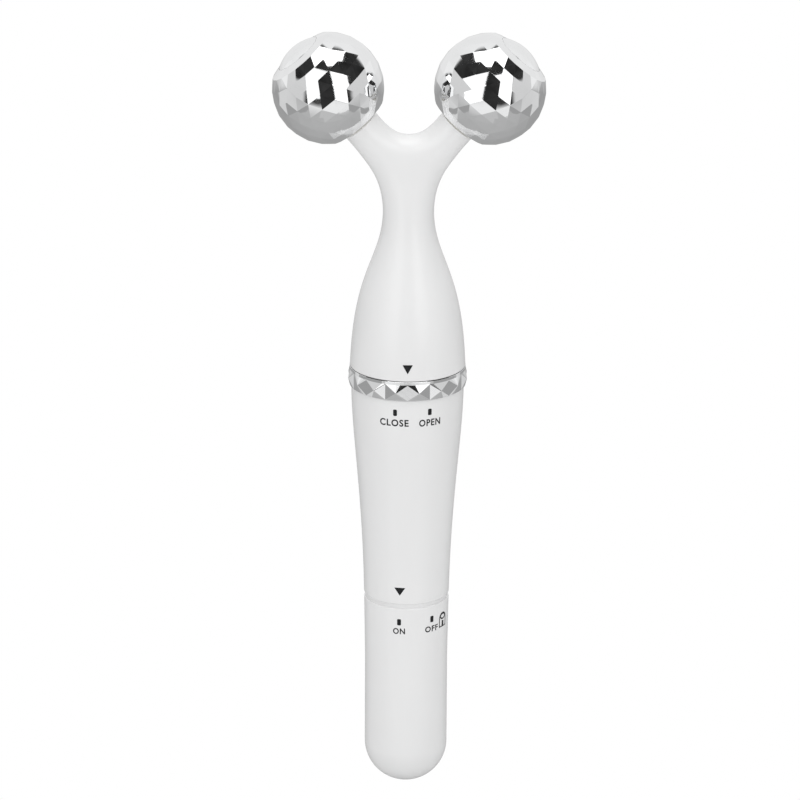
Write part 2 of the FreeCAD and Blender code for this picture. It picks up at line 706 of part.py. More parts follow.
def arm(side):
    """Straight arm from the end of the saddle's bend to the ball."""
    direction = arm_direction(side)
    base = Vector(0, 0, FORK_Z) + direction * BEND_END
    return Part.makeCylinder(ARM_R, ARM_REACH + ARM_END, base, direction)


def on_axle(shape, side):
    """Moves a shape from the Z axis to one ball's axle, its zero height at the ball's centre."""
    direction = arm_direction(side)
    centre = Vector(0, 0, FORK_Z) + direction * BALL_REACH
    placed = shape.copy()
    placed.Placement = FreeCAD.Placement(centre, FreeCAD.Rotation(UP, direction)).multiply(shape.Placement)
    return placed


def boss_parts():
    """Screw bosses inside the bell, each with a rib to the wall."""
    top = FLANGE_TOP_Z + BOSS_H
    post = disc(BOSS_R, FLANGE_TOP_Z, top)
    post.translate(Vector(BOSS_PITCH, 0, 0))
    rib = block(BOSS_PITCH, HEAD_FOOT_R, -RIB_T / 2, RIB_T / 2, FLANGE_TOP_Z, top)
    return around(post, BOSS_ANGLES) + around(rib, BOSS_ANGLES)


def boss_holes(radius, z0, z1):
    """Holes on the bosses' centres."""
    hole = disc(radius, z0, z1)
    hole.translate(Vector(BOSS_PITCH, 0, 0))
    return around(hole, BOSS_ANGLES)


def axle_seat():
    """Bore for an axle and pocket for its head, on the Z axis."""
    bore = disc(AXLE_R + SEAT, AXLE_START, ARM_END)
    pocket = disc(AXLE_HEAD_R + SEAT, AXLE_START - SEAT, AXLE_START + AXLE_HEAD_T + SEAT)
    return bore.fuse(pocket)


def head_shells():
    """Front and rear halves of the head, which meet on the plane of the two arms."""
    outer = bell(0).fuse(fork_root()).fuse(saddle_bend())
    for side in (-1, 1):
        outer = outer.fuse(arm(side))
    cavity = bell(HEAD_WALL).common(disc(HEAD_FOOT_R, HEAD_Z, NECK_Z - CAVITY_CROWN))
    body = outer.cut(cavity)
    for piece in boss_parts():
        body = body.fuse(piece.common(bell(HEAD_WALL / 2)))
    for hole in boss_holes(SCREW_R + SEAT, FLANGE_TOP_Z, FLANGE_TOP_Z + SCREW_L):
        body = body.cut(hole)
    for side in (-1, 1):
        body = body.cut(on_axle(axle_seat(), side))
    reach = BALL_REACH + HEAD_FOOT_R
    top = FORK_Z + BALL_REACH
    front = body.common(block(-reach, reach, -reach, 0, HEAD_Z, top))
    rear = body.common(block(-reach, reach, 0, reach, HEAD_Z, top))
    return front.Solids[0], rear.Solids[0]


def cord_groove_r():
    """Bottom of the plug's groove for its friction ring."""
    return PLUG_R + TWIST_FIT - SEAL_PLAY - 2 * RING_CORD_R - SEAT


def bayonet_plug():
    """Lower end of the head: flange under the bosses, tube and lugs for the socket."""
    flange = bell(HEAD_WALL + SEAT).common(disc(HEAD_FOOT_R, FLANGE_Z, FLANGE_TOP_Z))
    half = HEAD_LUG_DEG / 2
    lug_z = head_lug_z()
    lug = sector(PLUG_R + HEAD_LUG_DEPTH, PLUG_R - PLUG_WALL, lug_z, lug_z + HEAD_LUG_H, -half, half)
    body = joined([flange, disc(PLUG_R, PLUG_Z, FLANGE_Z)] + around(lug, even_angles(HEAD_LUGS)))
    body = body.cut(disc(PLUG_R - PLUG_WALL, PLUG_Z, FLANGE_Z))
    body = body.cut(disc(FLANGE_EYE_R, FLANGE_Z, FLANGE_TOP_Z))
    cord_z = PLUG_Z + RING_CORD_RISE
    groove_half = RING_CORD_R + SEAT
    body = body.cut(tube(PLUG_R, cord_groove_r(), cord_z - groove_half, cord_z + groove_half))
    for hole in boss_holes(SCREW_R + SEAT, FLANGE_Z, FLANGE_TOP_Z):
        body = body.cut(hole)
    return body


def head_o_ring():
    """Rubber ring that gives the head's twist its friction."""
    major = cord_groove_r() + SEAT + RING_CORD_R
    return Part.makeTorus(major, RING_CORD_R, Vector(0, 0, PLUG_Z + RING_CORD_RISE))


def plug_screws():
    """Screws up through the flange into the bosses."""
    fastener = screw(SCREW_R, SCREW_L, SCREW_HEAD_R, SCREW_HEAD_H)
    fastener.translate(Vector(BOSS_PITCH, 0, FLANGE_Z))
    return Part.makeCompound(around(fastener, BOSS_ANGLES))


# Rollers, each drawn on the Z axis with the ball's centre at zero

def ball_rows():
    """Rings of corner points of the faceted ball, every second ring turned by half a facet."""
    low = math.asin(-BALL_INNER_FLAT / BALL_R)
    high = math.asin(BALL_OUTER_FLAT / BALL_R)
    step = 360.0 / BALL_FACETS
    rows = []
    for row in range(BALL_ROWS + 1):
        latitude = low + (high - low) * row / BALL_ROWS
        radius = BALL_R * math.cos(latitude)
        turn = step / 2 * (row % 2)
        z = BALL_R * math.sin(latitude)
        rows.append([ring_point(radius, turn + step * i, z) for i in range(BALL_FACETS)])
    return rows


def roller_shell():
    """Hollow ball of triangular facets with a hole at each pole and a low cone round the outer one."""
    rows = ball_rows()
    loops = [rows[0], rows[-1]]
    for row in range(BALL_ROWS):
        lower, upper = rows[row], rows[row + 1]
        for i in range(BALL_FACETS):
            after = (i + 1) % BALL_FACETS
            lower_tip, upper_tip = (after, i) if row % 2 == 0 else (i, after)
            loops.append([lower[i], lower[after], upper[upper_tip]])
            loops.append([upper[i], upper[after], lower[lower_tip]])
    inner_wall = POLE_WALL - BALL_INNER_FLAT
    outer_wall = BALL_OUTER_FLAT - POLE_WALL
    hollow = Part.makeSphere(BALL_R - BALL_WALL).common(disc(BALL_R, inner_wall, outer_wall))
    rim_foot_r = OUTER_FLAT_R * math.cos(math.pi / BALL_FACETS) - POLE_RIM_LAND
    rim = Part.makeCone(rim_foot_r, DOME_R + POLE_RIM_LIP, POLE_RIM_RISE, UP * BALL_OUTER_FLAT)
    body = faceted(loops).fuse(rim).cut(hollow)
    body = body.cut(disc(COLLAR_DISC_R + SEAT, -BALL_R, inner_wall))
    return body.cut(disc(DOME_R + SEAT, outer_wall, BALL_R))


def end_dome():
    """Smooth plug over the axle's outer end, hollow for the screw."""
    crown_r = (DOME_R ** 2 + DOME_RISE ** 2) / (2 * DOME_RISE)
    half_r = DOME_R / 2
    top = DOME_BASE + DOME_RISE
    half_z = top - crown_r + math.sqrt(crown_r ** 2 - half_r ** 2)
    crown = Part.Arc(Vector(DOME_R, 0, DOME_BASE), Vector(half_r, 0, half_z), Vector(0, 0, top)).toShape()
    room = HUB_OUT + DOME_ROOM_L
    rest = chain([(0, top), (0, room), (DOME_ROOM_R, room), (DOME_ROOM_R, HUB_OUT), (DOME_R, HUB_OUT),
                  (DOME_R, DOME_BASE)])
    return lathe([crown] + rest)


def inner_collar():
    """Smooth disc that closes the ball beside the arm."""
    return tube(COLLAR_DISC_R, BUSH_R + SEAT, -(BALL_INNER_FLAT + COLLAR_PROUD), HUB_IN)


def roller_core():
    """Hub tube with a flange in each pole's hole."""
    bore = BUSH_R + SEAT
    return turned([(bore, HUB_IN), (COLLAR_DISC_R, HUB_IN), (COLLAR_DISC_R, HUB_IN + HUB_FLANGE_T),
                   (HUB_R, HUB_IN + HUB_FLANGE_T), (HUB_R, HUB_OUT - HUB_FLANGE_T),
                   (DOME_R, HUB_OUT - HUB_FLANGE_T), (DOME_R, HUB_OUT), (bore, HUB_OUT)])


def bush_inner():
    """Flanged bush on the arm's side of the ball."""
    face = -(BALL_INNER_FLAT + COLLAR_PROUD)
    bore = AXLE_R + FIT
    return turned([(bore, face - BUSH_FLANGE_T), (BUSH_FLANGE_R, face - BUSH_FLANGE_T), (BUSH_FLANGE_R, face),
                   (BUSH_R, face), (BUSH_R, face + BUSH_L), (bore, face + BUSH_L)])


def bush_outer():
    """Plain bush at the outer end of the hub."""
    return tube(BUSH_R, AXLE_R + FIT, HUB_OUT - BUSH_L, HUB_OUT)


def axle():
    """Steel pin, its head held in the arm and its outer end tapped."""
    head = disc(AXLE_HEAD_R, AXLE_START, AXLE_START + AXLE_HEAD_T)
    pin = joined([head, disc(AXLE_R, AXLE_START, AXLE_END)])
    return pin.cut(disc(SCREW_R + SEAT, AXLE_END - SCREW_L, AXLE_END))


def thrust_washer():
    """Washer between the arm's end and the ball's bush."""
    return tube(WASHER_R, AXLE_R + SEAT, ARM_END, ARM_END + WASHER_T)


def axle_washer():
    """Washer on the axle's outer end that keeps the ball on."""
    return tube(WASHER_R, SCREW_R + SEAT, AXLE_END, AXLE_END + WASHER_T)


def axle_screw():
    """Screw into the axle's outer end."""
    fastener = screw(SCREW_R, SCREW_L, SCREW_HEAD_R, SCREW_HEAD_H)
    fastener.rotate(CENTRE, Vector(1, 0, 0), 180)
    fastener.translate(Vector(0, 0, AXLE_END + WASHER_T))
    return fastener


def all_nodes():
    """Every piece of the object by name."""
    front, rear = head_shells()
    nodes = {"head_front_shell": front, "head_rear_shell": rear, "lead_red": lead(1), "lead_black": lead(-1),
             "motor_terminals": Part.makeCompound(terminal_blocks(0))}
    for maker in (bayonet_plug, head_o_ring, plug_screws, handle_sleeve, trim_ring, bayonet_socket,
                  battery_tube, cap_seal_ring, battery, positive_contact, negative_strip, motor_cradle,
                  motor_screws, motor_can, motor_end_bell, motor_magnets, motor_armature, motor_shaft,
                  eccentric_weight, end_cap, spring_plate, battery_spring, switch_finger):
        nodes[maker.__name__] = maker()
    for maker in (roller_shell, end_dome, inner_collar, roller_core, bush_inner, bush_outer, axle,
                  thrust_washer, axle_washer, axle_screw):
        piece = maker()
        for name, side in (("left", -1), ("right", 1)):
            nodes[f"{maker.__name__}_{name}"] = on_axle(piece, side)
    return nodes


os.makedirs("parts", exist_ok=True)
for node_name, shape in all_nodes().items():
    shape.exportStep(f"parts/{node_name}.step")
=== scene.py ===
"""Looks of a hand-held facial roller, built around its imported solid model.

Sizes in the classes are millimetres, in the frame of the solid model: Z runs up the handle, the front
faces -Y and the origin is the centre of the round handle end. Every mesh is scaled to metres when it is
done.
"""
from __future__ import annotations

import json
import logging
import math
from dataclasses import dataclass
from enum import Enum

import bmesh
import bpy
from bmesh.types import BMEdge, BMesh, BMFace, BMVert
from bpy.types import Material, Mesh, Node, NodeSocket, NodeTree, Object, World
from mathutils import Matrix, Vector

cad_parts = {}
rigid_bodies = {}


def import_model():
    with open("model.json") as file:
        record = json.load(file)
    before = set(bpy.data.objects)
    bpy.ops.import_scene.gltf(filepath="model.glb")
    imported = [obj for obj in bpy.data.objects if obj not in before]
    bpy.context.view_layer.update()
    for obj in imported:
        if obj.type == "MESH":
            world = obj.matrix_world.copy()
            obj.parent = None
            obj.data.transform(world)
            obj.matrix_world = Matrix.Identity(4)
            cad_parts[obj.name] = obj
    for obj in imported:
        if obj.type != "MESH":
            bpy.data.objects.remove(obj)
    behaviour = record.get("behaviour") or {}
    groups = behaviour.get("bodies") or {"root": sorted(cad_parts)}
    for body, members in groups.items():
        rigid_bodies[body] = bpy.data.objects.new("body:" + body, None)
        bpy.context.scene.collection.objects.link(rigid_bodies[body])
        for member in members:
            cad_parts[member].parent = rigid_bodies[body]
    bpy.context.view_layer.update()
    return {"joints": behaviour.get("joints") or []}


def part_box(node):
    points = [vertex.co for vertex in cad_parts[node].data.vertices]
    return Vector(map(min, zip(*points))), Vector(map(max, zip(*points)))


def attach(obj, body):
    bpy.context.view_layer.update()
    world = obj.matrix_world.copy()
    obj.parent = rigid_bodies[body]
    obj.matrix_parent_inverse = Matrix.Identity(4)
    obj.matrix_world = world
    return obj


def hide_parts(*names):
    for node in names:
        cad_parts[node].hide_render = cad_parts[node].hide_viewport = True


LOG = logging.getLogger("facial_roller")
MM = 0.001
ROUND_STEPS = 128       # faces round the handle's pieces
SMALL_STEPS = 64        # faces round the rollers' small pieces
EDGE_POINTS = 6         # points on a softened edge
BELL_POINTS = 40        # points on the bell's outline where a mark lies on it
CREASE_DEG = 30.0       # edges that turn by more than this stay sharp
WELD = 1e-5             # points nearer than this become one
COARSE_WELD = 1e-4      # the same for letters and where the head is parted
ON_PLANE = 1e-3         # points nearer to a plane than this lie on it
UPRIGHT = 0.99          # faces whose normal reaches this along Z look straight up or down
Point = tuple[float, float]
Colour = tuple[float, float, float]


class Grain(Enum):
    """How the fine pattern of a finish lies on its piece."""

    EVEN = (1.0, 1.0, 1.0)
    ALONG_Z = (1.0, 1.0, 0.04)
    AROUND_Z = (0.15, 0.15, 1.0)
    LAYERED = (0.02, 0.02, 1.0)


class Rounding(Enum):
    """What a bevel works on."""

    EDGES = "EDGES"
    CORNERS = "VERTICES"


class Side(Enum):
    """Left and right as seen from the front, with the sign of X there."""

    LEFT = -1
    RIGHT = 1

    @property
    def label(self) -> str:
        """The side's word in the names of pieces."""
        return self.name.lower()


class Half(Enum):
    """The head's two mouldings."""

    FRONT = "head_front"
    REAR = "head_rear"


def cleared_tree(owner: Material | World) -> NodeTree:
    """Switches on and empties the node tree of a material or a world.

    Args:
        owner: the material or the world.

    Returns:
        Its tree.
    """
    owner.use_nodes = True
    owner.node_tree.nodes.clear()
    return owner.node_tree


@dataclass(frozen=True)
class Finish:
    """A surface: its colour and gloss, how both vary, and the fine relief.

    Lengths of the patterns are millimetres.
    """

    name: str
    colour: Colour
    second: Colour
    roughness: tuple[float, float]
    metallic: float = 0.0
    grain: Grain = Grain.EVEN
    cloud_mm: float = 14.0
    grain_mm: float = 0.35
    relief_mm: float = 0.002
    cloud_detail: float = 3.0
    grain_detail: float = 4.0
    coat: float = 0.0
    ior: float = 1.5

    def material(self) -> Material:
        """Makes the material, once.

        Returns:
            The material, under the finish's name.
        """
        found = bpy.data.materials.get(self.name)
        if found is not None and found.get("dressed"):
            return found
        made = found or bpy.data.materials.new(self.name)
        made["dressed"] = True
        self._wire(cleared_tree(made))
        return made

    def _wire(self, tree: NodeTree) -> None:
        """Builds the node graph.

        Args:
            tree: the material's own tree, still empty.
        """
        add, join = tree.nodes.new, tree.links.new
        output = add("ShaderNodeOutputMaterial")
        shader = add("ShaderNodeBsdfPrincipled")
        place = add("ShaderNodeTexCoord")
        turn = add("ShaderNodeMapping")
        turn.inputs["Scale"].default_value = self.grain.value
        join(place.outputs["Object"], turn.inputs["Vector"])
        join(shader.outputs["BSDF"], output.inputs["Surface"])
        cloud = self._noise(tree, place.outputs["Object"], self.cloud_mm, self.cloud_detail)
        fine = self._noise(tree, turn.outputs["Vector"], self.grain_mm, self.grain_detail)
        tint = add("ShaderNodeMix")
        tint.data_type = "RGBA"
        tint.inputs["A"].default_value = (*self.colour, 1.0)
        tint.inputs["B"].default_value = (*self.second, 1.0)
        join(cloud.outputs["Fac"], tint.inputs["Factor"])
        join(tint.outputs["Result"], shader.inputs["Base Color"])
        gloss = add("ShaderNodeMapRange")
        gloss.inputs["To Min"].default_value = self.roughness[0]
        gloss.inputs["To Max"].default_value = self.roughness[1]
        join(fine.outputs["Fac"], gloss.inputs["Value"])
        join(gloss.outputs["Result"], shader.inputs["Roughness"])
        relief = add("ShaderNodeBump")
        relief.inputs["Distance"].default_value = self.relief_mm * MM
        join(fine.outputs["Fac"], relief.inputs["Height"])
        join(relief.outputs["Normal"], shader.inputs["Normal"])
        shader.inputs["Metallic"].default_value = self.metallic
        shader.inputs["IOR"].default_value = self.ior
        shader.inputs["Coat Weight"].default_value = self.coat

    @staticmethod
    def _noise(tree: NodeTree, vector: NodeSocket, size_mm: float, detail: float) -> Node:
        """Adds a noise pattern.

        Args:
            tree: the tree that gets the node.
            vector: the socket with the coordinates.
            size_mm: size of one patch.
            detail: how many finer layers it has.

        Returns:
            The noise node.
        """
        node = tree.nodes.new("ShaderNodeTexNoise")
        node.inputs["Scale"].default_value = 1.0 / (size_mm * MM)
        node.inputs["Detail"].default_value = detail
        tree.links.new(vector, node.inputs["Vector"])
        return node


WHITE_PLASTIC = Finish("white_abs", (0.85, 0.85, 0.85), (0.82, 0.822, 0.825), (0.20, 0.28), grain_mm=0.5)
BALL_CHROME = Finish("chrome_ball", (0.90, 0.905, 0.91), (0.86, 0.865, 0.87), (0.02, 0.07), metallic=1.0,
                     cloud_mm=5.0, grain_mm=2.5, relief_mm=0.0004)
TRIM_CHROME = Finish("chrome_trim", (0.90, 0.905, 0.91), (0.86, 0.865, 0.87), (0.03, 0.09), metallic=1.0,
                     cloud_mm=6.0, grain_mm=0.5, relief_mm=0.001)
PALE_COLLAR = Finish("pale_collar", (0.78, 0.78, 0.79), (0.74, 0.742, 0.75), (0.22, 0.32), grain_mm=0.4)
INNER_PLASTIC = Finish("inner_abs", (0.84, 0.84, 0.84), (0.80, 0.803, 0.806), (0.42, 0.55), relief_mm=0.006)
NYLON = Finish("nylon", (0.85, 0.84, 0.79), (0.80, 0.78, 0.72), (0.40, 0.52), cloud_mm=4.0, relief_mm=0.004)
STEEL = Finish("steel", (0.60, 0.60, 0.61), (0.52, 0.52, 0.54), (0.20, 0.38), metallic=1.0,
               grain=Grain.AROUND_Z, grain_mm=0.15, cloud_mm=6.0)
WEIGHT_BRASS = Finish("brass_weight", (0.72, 0.56, 0.27), (0.62, 0.46, 0.20), (0.22, 0.40), metallic=1.0,
                      grain=Grain.AROUND_Z, grain_mm=0.15, cloud_mm=4.0)
CONTACT_BRASS = Finish("contact_brass", (0.76, 0.67, 0.44), (0.66, 0.56, 0.34), (0.18, 0.34), metallic=1.0,
                       grain=Grain.ALONG_Z, grain_mm=0.12, cloud_mm=3.0)
IRON = Finish("armature_iron", (0.20, 0.195, 0.19), (0.13, 0.125, 0.12), (0.45, 0.65), metallic=0.7,
              grain=Grain.LAYERED, grain_mm=0.5, cloud_mm=3.0, relief_mm=0.05)
MOTOR_PLASTIC = Finish("motor_plastic", (0.035, 0.035, 0.038), (0.06, 0.06, 0.062), (0.45, 0.6),
                       relief_mm=0.01)
RUBBER = Finish("seal_rubber", (0.022, 0.022, 0.022), (0.05, 0.05, 0.05), (0.55, 0.75), relief_mm=0.012)
CELL_WRAP = Finish("cell_steel", (0.07, 0.10, 0.16), (0.05, 0.075, 0.13), (0.22, 0.34), coat=0.4,
                   cloud_mm=9.0)
RED_WIRE = Finish("lead_red", (0.50, 0.03, 0.025), (0.38, 0.02, 0.02), (0.38, 0.5), cloud_mm=2.0)
BLACK_WIRE = Finish("lead_black", (0.018, 0.018, 0.018), (0.04, 0.04, 0.04), (0.38, 0.5), cloud_mm=2.0)
INK = Finish("print_ink", (0.012, 0.012, 0.013), (0.030, 0.030, 0.032), (0.45, 0.6), cloud_mm=0.8,
             grain_mm=0.12, ior=1.2)
CAD_FINISHES = (WHITE_PLASTIC, BALL_CHROME, TRIM_CHROME, PALE_COLLAR, INNER_PLASTIC, NYLON, STEEL,
                WEIGHT_BRASS, CONTACT_BRASS, IRON, MOTOR_PLASTIC, RUBBER, CELL_WRAP, RED_WIRE, BLACK_WIRE)


def arc(centre: Point, radius: float, start_deg: float, end_deg: float, count: int) -> list[Point]:
    """Points on an arc in the (radius, height) plane.

    Args:
        centre: middle of the arc.
        radius: its radius.
        start_deg: first angle, from the radius axis.
        end_deg: last angle.
        count: number of points, both ends included.

    Returns:
        The points in order.
    """
    angles = [math.radians(start_deg + (end_deg - start_deg) * i / (count - 1)) for i in range(count)]
    return [(centre[0] + radius * math.cos(a), centre[1] + radius * math.sin(a)) for a in angles]


def swept_curve(foot: Point, low: Point, high: Point, top: Point, count: int) -> list[Point]:
    """Points on a smooth curve from foot to top that is drawn towards two others.

    Args:
        foot: first point.
        low: point that the curve leaves towards.
        high: point that it arrives from.
        top: last point.
        count: number of points, both ends included.

    Returns:
        The points in order.
    """
    points = []
    for i in range(count):
        t = i / (count - 1)
        weights = ((1 - t) ** 3, 3 * t * (1 - t) ** 2, 3 * t * t * (1 - t), t ** 3)
        points.append(tuple(sum(w * p[k] for w, p in zip(weights, (foot, low, high, top))) for k in (0, 1)))
    return points


def turned(profile: list[Point], closed: bool, steps: int = ROUND_STEPS) -> BMesh:
    """Turns an outline about Z.

    Args:
        profile: (radius, height) points in order.
        closed: whether the last point joins the first; ends that don't join lie on the axis or stay open.
        steps: faces round the axis.

    Returns:
        A mesh of the turned shape, with its faces outwards.
    """
    bm = bmesh.new()
    verts = [bm.verts.new((r, 0.0, z)) for r, z in profile]
    edges = [bm.edges.new(pair) for pair in zip(verts, verts[1:])]
    if closed:
        edges.append(bm.edges.new((verts[-1], verts[0])))
    bmesh.ops.spin(bm, geom=verts + edges, cent=(0, 0, 0), axis=(0, 0, 1), dvec=(0, 0, 0),
                   angle=math.tau, steps=steps, use_merge=True)
    bmesh.ops.remove_doubles(bm, verts=bm.verts[:], dist=WELD)
    bmesh.ops.recalc_face_normals(bm, faces=bm.faces[:])
    return bm


def corner_ring(bm: BMesh, corners: int, radius: float,
                place: Matrix) -> tuple[list[BMVert], list[BMEdge]]:
    """Adds an open ring of corners.

    Args:
        bm: the mesh.
        corners: how many it has.
        radius: distance of the corners from the ring's middle.
        place: where the ring lies, drawn level at zero.

    Returns:
        Its points and its edges, in order.
    """
    ring = bmesh.ops.create_circle(bm, cap_ends=False, segments=corners, radius=radius, matrix=place)
    verts = ring["verts"]
    return verts, list(dict.fromkeys(e for v in verts for e in v.link_edges))


def extruded(bm: BMesh, loop: list[BMEdge]) -> tuple[list[BMVert], list[BMEdge]]:
    """Draws a copy of an open loop out of the mesh.

    Args:
        bm: the mesh.
        loop: edges of the loop.

    Returns:
        The points and the edges of the new loop.
    """
    grown = bmesh.ops.extrude_edge_only(bm, edges=loop)["geom"]
    verts = [v for v in grown if isinstance(v, BMVert)]
    return verts, [e for e in grown if isinstance(e, BMEdge) and all(v in verts for v in e.verts)]


def raised(bm: BMesh, faces: list[BMFace]) -> list[BMVert]:
    """Copies faces out of the mesh, with walls between the old ones and the new.

    Args:
        bm: the mesh.
        faces: the faces, which stay.

    Returns:
        The points of the new faces.
    """
    grown = bmesh.ops.extrude_face_region(bm, geom=faces)["geom"]
    return [v for v in grown if isinstance(v, BMVert)]


def drawn_through(bm: BMesh, loop: list[BMEdge], path: list[Point]) -> None:
    """Draws a level open ring out through more rings and joins the last to the mesh's other open ring.

    Args:
        bm: the mesh, open at two rings round the Z axis.
        loop: edges of the ring to start from.
        path: (radius, height) of each further ring.
    """
    for radius, height in path:
        verts, loop = extruded(bm, loop)
        shrink = radius / math.hypot(verts[0].co.x, verts[0].co.y)
        bmesh.ops.scale(bm, vec=(shrink, shrink, 1.0), verts=verts)
        bmesh.ops.translate(bm, vec=(0, 0, height - verts[0].co.z), verts=verts)
    bmesh.ops.bridge_loops(bm, edges=[e for e in bm.edges if e.is_boundary])
    bmesh.ops.recalc_face_normals(bm, faces=bm.faces[:])


def bevelled(bm: BMesh, geom: list[BMEdge] | list[BMVert], offset: float, segments: int = 1,
             rounding: Rounding = Rounding.EDGES) -> None:
    """Takes the sharpness off edges or corners.

    Args:
        bm: the mesh.
        geom: the edges or the corners.
        offset: width of the bevel to each side.
        segments: faces across it.
        rounding: which of both geom holds.
    """
    bmesh.ops.bevel(bm, geom=geom, offset=offset, affect=rounding.value, segments=segments, profile=0.5,
                    material=-1, clamp_overlap=True)


def as_shown(holder: Object) -> Mesh:
    """Takes the mesh that an object shows, with its modifiers, and removes the object.

    Args:
        holder: the object, not yet in the scene.

    Returns:
        The mesh.
    """
    bpy.context.scene.collection.objects.link(holder)
    seen = holder.evaluated_get(bpy.context.evaluated_depsgraph_get())
    mesh = bpy.data.meshes.new_from_object(seen)
    bpy.data.batch_remove([holder, holder.data])
    return mesh


def as_object(bm: BMesh, name: str, material: Material) -> Object:
    """Makes an object of a mesh in millimetres.

    Args:
        bm: the mesh, which is freed.
        name: the object's name.
        material: its surface.

    Returns:
        The object, at the origin.
    """
    bmesh.ops.scale(bm, vec=(MM, MM, MM), verts=bm.verts[:])
    mesh = bpy.data.meshes.new(name)
    bm.to_mesh(mesh)
    bm.free()
    mesh.materials.append(material)
    made = bpy.data.objects.new(name, mesh)
    bpy.context.scene.collection.objects.link(made)
    return made


def as_piece(bm: BMesh, name: str, finish: Finish, body: str, crease_deg: float = CREASE_DEG) -> Object:
    """Makes a finished piece of a mesh in millimetres.

    Args:
        bm: the mesh, which is freed.
        name: the piece's name.
        finish: its surface.
        body: the moving body that it rides on.
        crease_deg: edges that turn by more than this stay sharp.

    Returns:
        The piece, at the origin.
    """
    piece = as_object(bm, name, finish.material())
    piece.data.shade_smooth()
    piece.data.set_sharp_from_angle(angle=math.radians(crease_deg))
    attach(piece, body)
    LOG.info("%s: %d faces on %s", name, len(piece.data.polygons), body)
    return piece


def stand_in(bm: BMesh, name: str, finish: Finish, body: str, node: str,
             crease_deg: float = CREASE_DEG) -> Object:
    """Makes a finished piece that stands for a solid.

    Args:
        bm: the mesh, which is freed.
        name: the piece's name.
        finish: its surface.
        body: the moving body that it rides on.
        node: the solid's name.
        crease_deg: edges that turn by more than this stay sharp.

    Returns:
        The piece, at the origin.
    """
    piece = as_piece(bm, name, finish, body, crease_deg)
    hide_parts(node)
    return piece


@dataclass
class EndCap:
    """Round-ended white cap, which is the twist switch and the battery door."""

    radius: float
    rim_z: float
    hold_l: float = 22.0
    flare: float = 0.25
    rim_lift: float = 0.2
    bore_r: float = 8.75
    dome_wall: float = 2.0
    edge_r: float = 0.35
    lug_drop: float = 8.0
    lug_h: float = 1.6
    lug_depth: float = 0.5
    lug_half_deg: float = 10.0
    dome_points: int = 40
    pocket_points: int = 24

    def barrel(self) -> list[Point]:
        """Returns the (radius, height) points of the side, straight and then wider towards the rim."""
        rim = (self.radius + self.flare, self.rim_z - self.edge_r)
        return [(self.radius, 0.0), (self.radius, self.hold_l), rim]

    def build(self) -> Object:
        """Builds the cap.

        Returns:
            The piece that stands for its solid.
        """
        pocket_r = self.radius - self.dome_wall
        lug_z = self.rim_z - self.lug_drop
        rim_r = self.radius + self.flare
        top_z = self.rim_z + self.rim_lift
        dome = arc((0, 0), self.radius, -90, 0, self.dome_points)
        lip = arc((rim_r - self.edge_r, top_z - self.edge_r), self.edge_r, 0, 90, EDGE_POINTS)
        bore = [(self.bore_r, z) for z in (top_z, lug_z + self.lug_h, lug_z, 0.0)]
        pocket = arc((0, 0), pocket_r, 0, -90, self.pocket_points)
        profile = dome + self.barrel()[1:-1] + lip + bore + pocket
        profile[0], profile[-1] = (0.0, -self.radius), (0.0, -pocket_r)
        bm = turned(profile, closed=False)
        self._raise_lugs(bm, lug_z)
        return stand_in(bm, "cap_moulding", WHITE_PLASTIC, "end_cap", "end_cap")

    def _raise_lugs(self, bm: BMesh, lug_z: float) -> None:
        """Draws the two bayonet lugs out of the bore.

        Args:
            bm: the turned cap.
            lug_z: underside of the lugs.
        """
        near_bore = self.lug_depth / 4
        lug_faces = []
        for face in bm.faces:
            middle = face.calc_center_median()
            off_axis = math.degrees(math.atan2(abs(middle.y), abs(middle.x)))
            in_bore = abs(math.hypot(middle.x, middle.y) - self.bore_r) < near_bore
            if in_bore and lug_z < middle.z < lug_z + self.lug_h and off_axis < self.lug_half_deg:
                lug_faces.append(face)
        verts = raised(bm, lug_faces)
        bmesh.ops.delete(bm, geom=lug_faces, context="FACES")
        inner = (self.bore_r - self.lug_depth) / self.bore_r
        bmesh.ops.scale(bm, vec=(inner, inner, 1.0), verts=verts)


@dataclass
class HandleSleeve:
    """Tapered white grip with its stepped bores, and the spigot inside the trim ring."""

    foot_z: float
    spigot_z: float
    top_z: float
    foot_r: float = 10.15
    low: Point = (10.65, 25.6)
    high: Point = (13.36, 11.7)
    top_r: float = 13.3
    edge_r: float = 0.35
    spigot_r: float = 12.0
    socket_r: float = 11.23
    socket_depth: float = 11.0
    cradle_r: float = 9.43
    cradle_depth: float = 36.25
    tube_r: float = 8.7

    def grip(self, count: int = 72) -> list[Point]:
        """Points on the outside of the grip, from its foot to its top edge.

        Args:
            count: number of points.

        Returns:
            The (radius, height) points in order.
        """
        foot = (self.foot_r, self.foot_z + self.edge_r)
        low = (self.low[0], self.foot_z + self.low[1])
        high = (self.high[0], self.top_z - self.high[1])
        return swept_curve(foot, low, high, (self.top_r, self.top_z - self.edge_r), count)

    def build(self) -> Object:
        """Builds the sleeve.

        Returns:
            The piece that stands for its solid.
        """
        edge = self.edge_r
        foot_lip = arc((self.foot_r - edge, self.foot_z + edge), edge, -90, 0, EDGE_POINTS)
        top_lip = arc((self.top_r - edge, self.top_z - edge), edge, 0, 90, EDGE_POINTS)
        socket_z = self.spigot_z - self.socket_depth
        cradle_z = self.spigot_z - self.cradle_depth
        bores = (self.spigot_r, self.socket_r, self.cradle_r, self.tube_r)
        levels = (self.top_z, self.spigot_z, socket_z, cradle_z, self.foot_z)
        inside = [(r, z) for i, r in enumerate(bores) for z in levels[i:i + 2]]
        bm = turned(foot_lip[:-1] + self.grip() + top_lip[1:] + inside, closed=True)
        return stand_in(bm, "grip_moulding", WHITE_PLASTIC, "handle", "handle_sleeve")


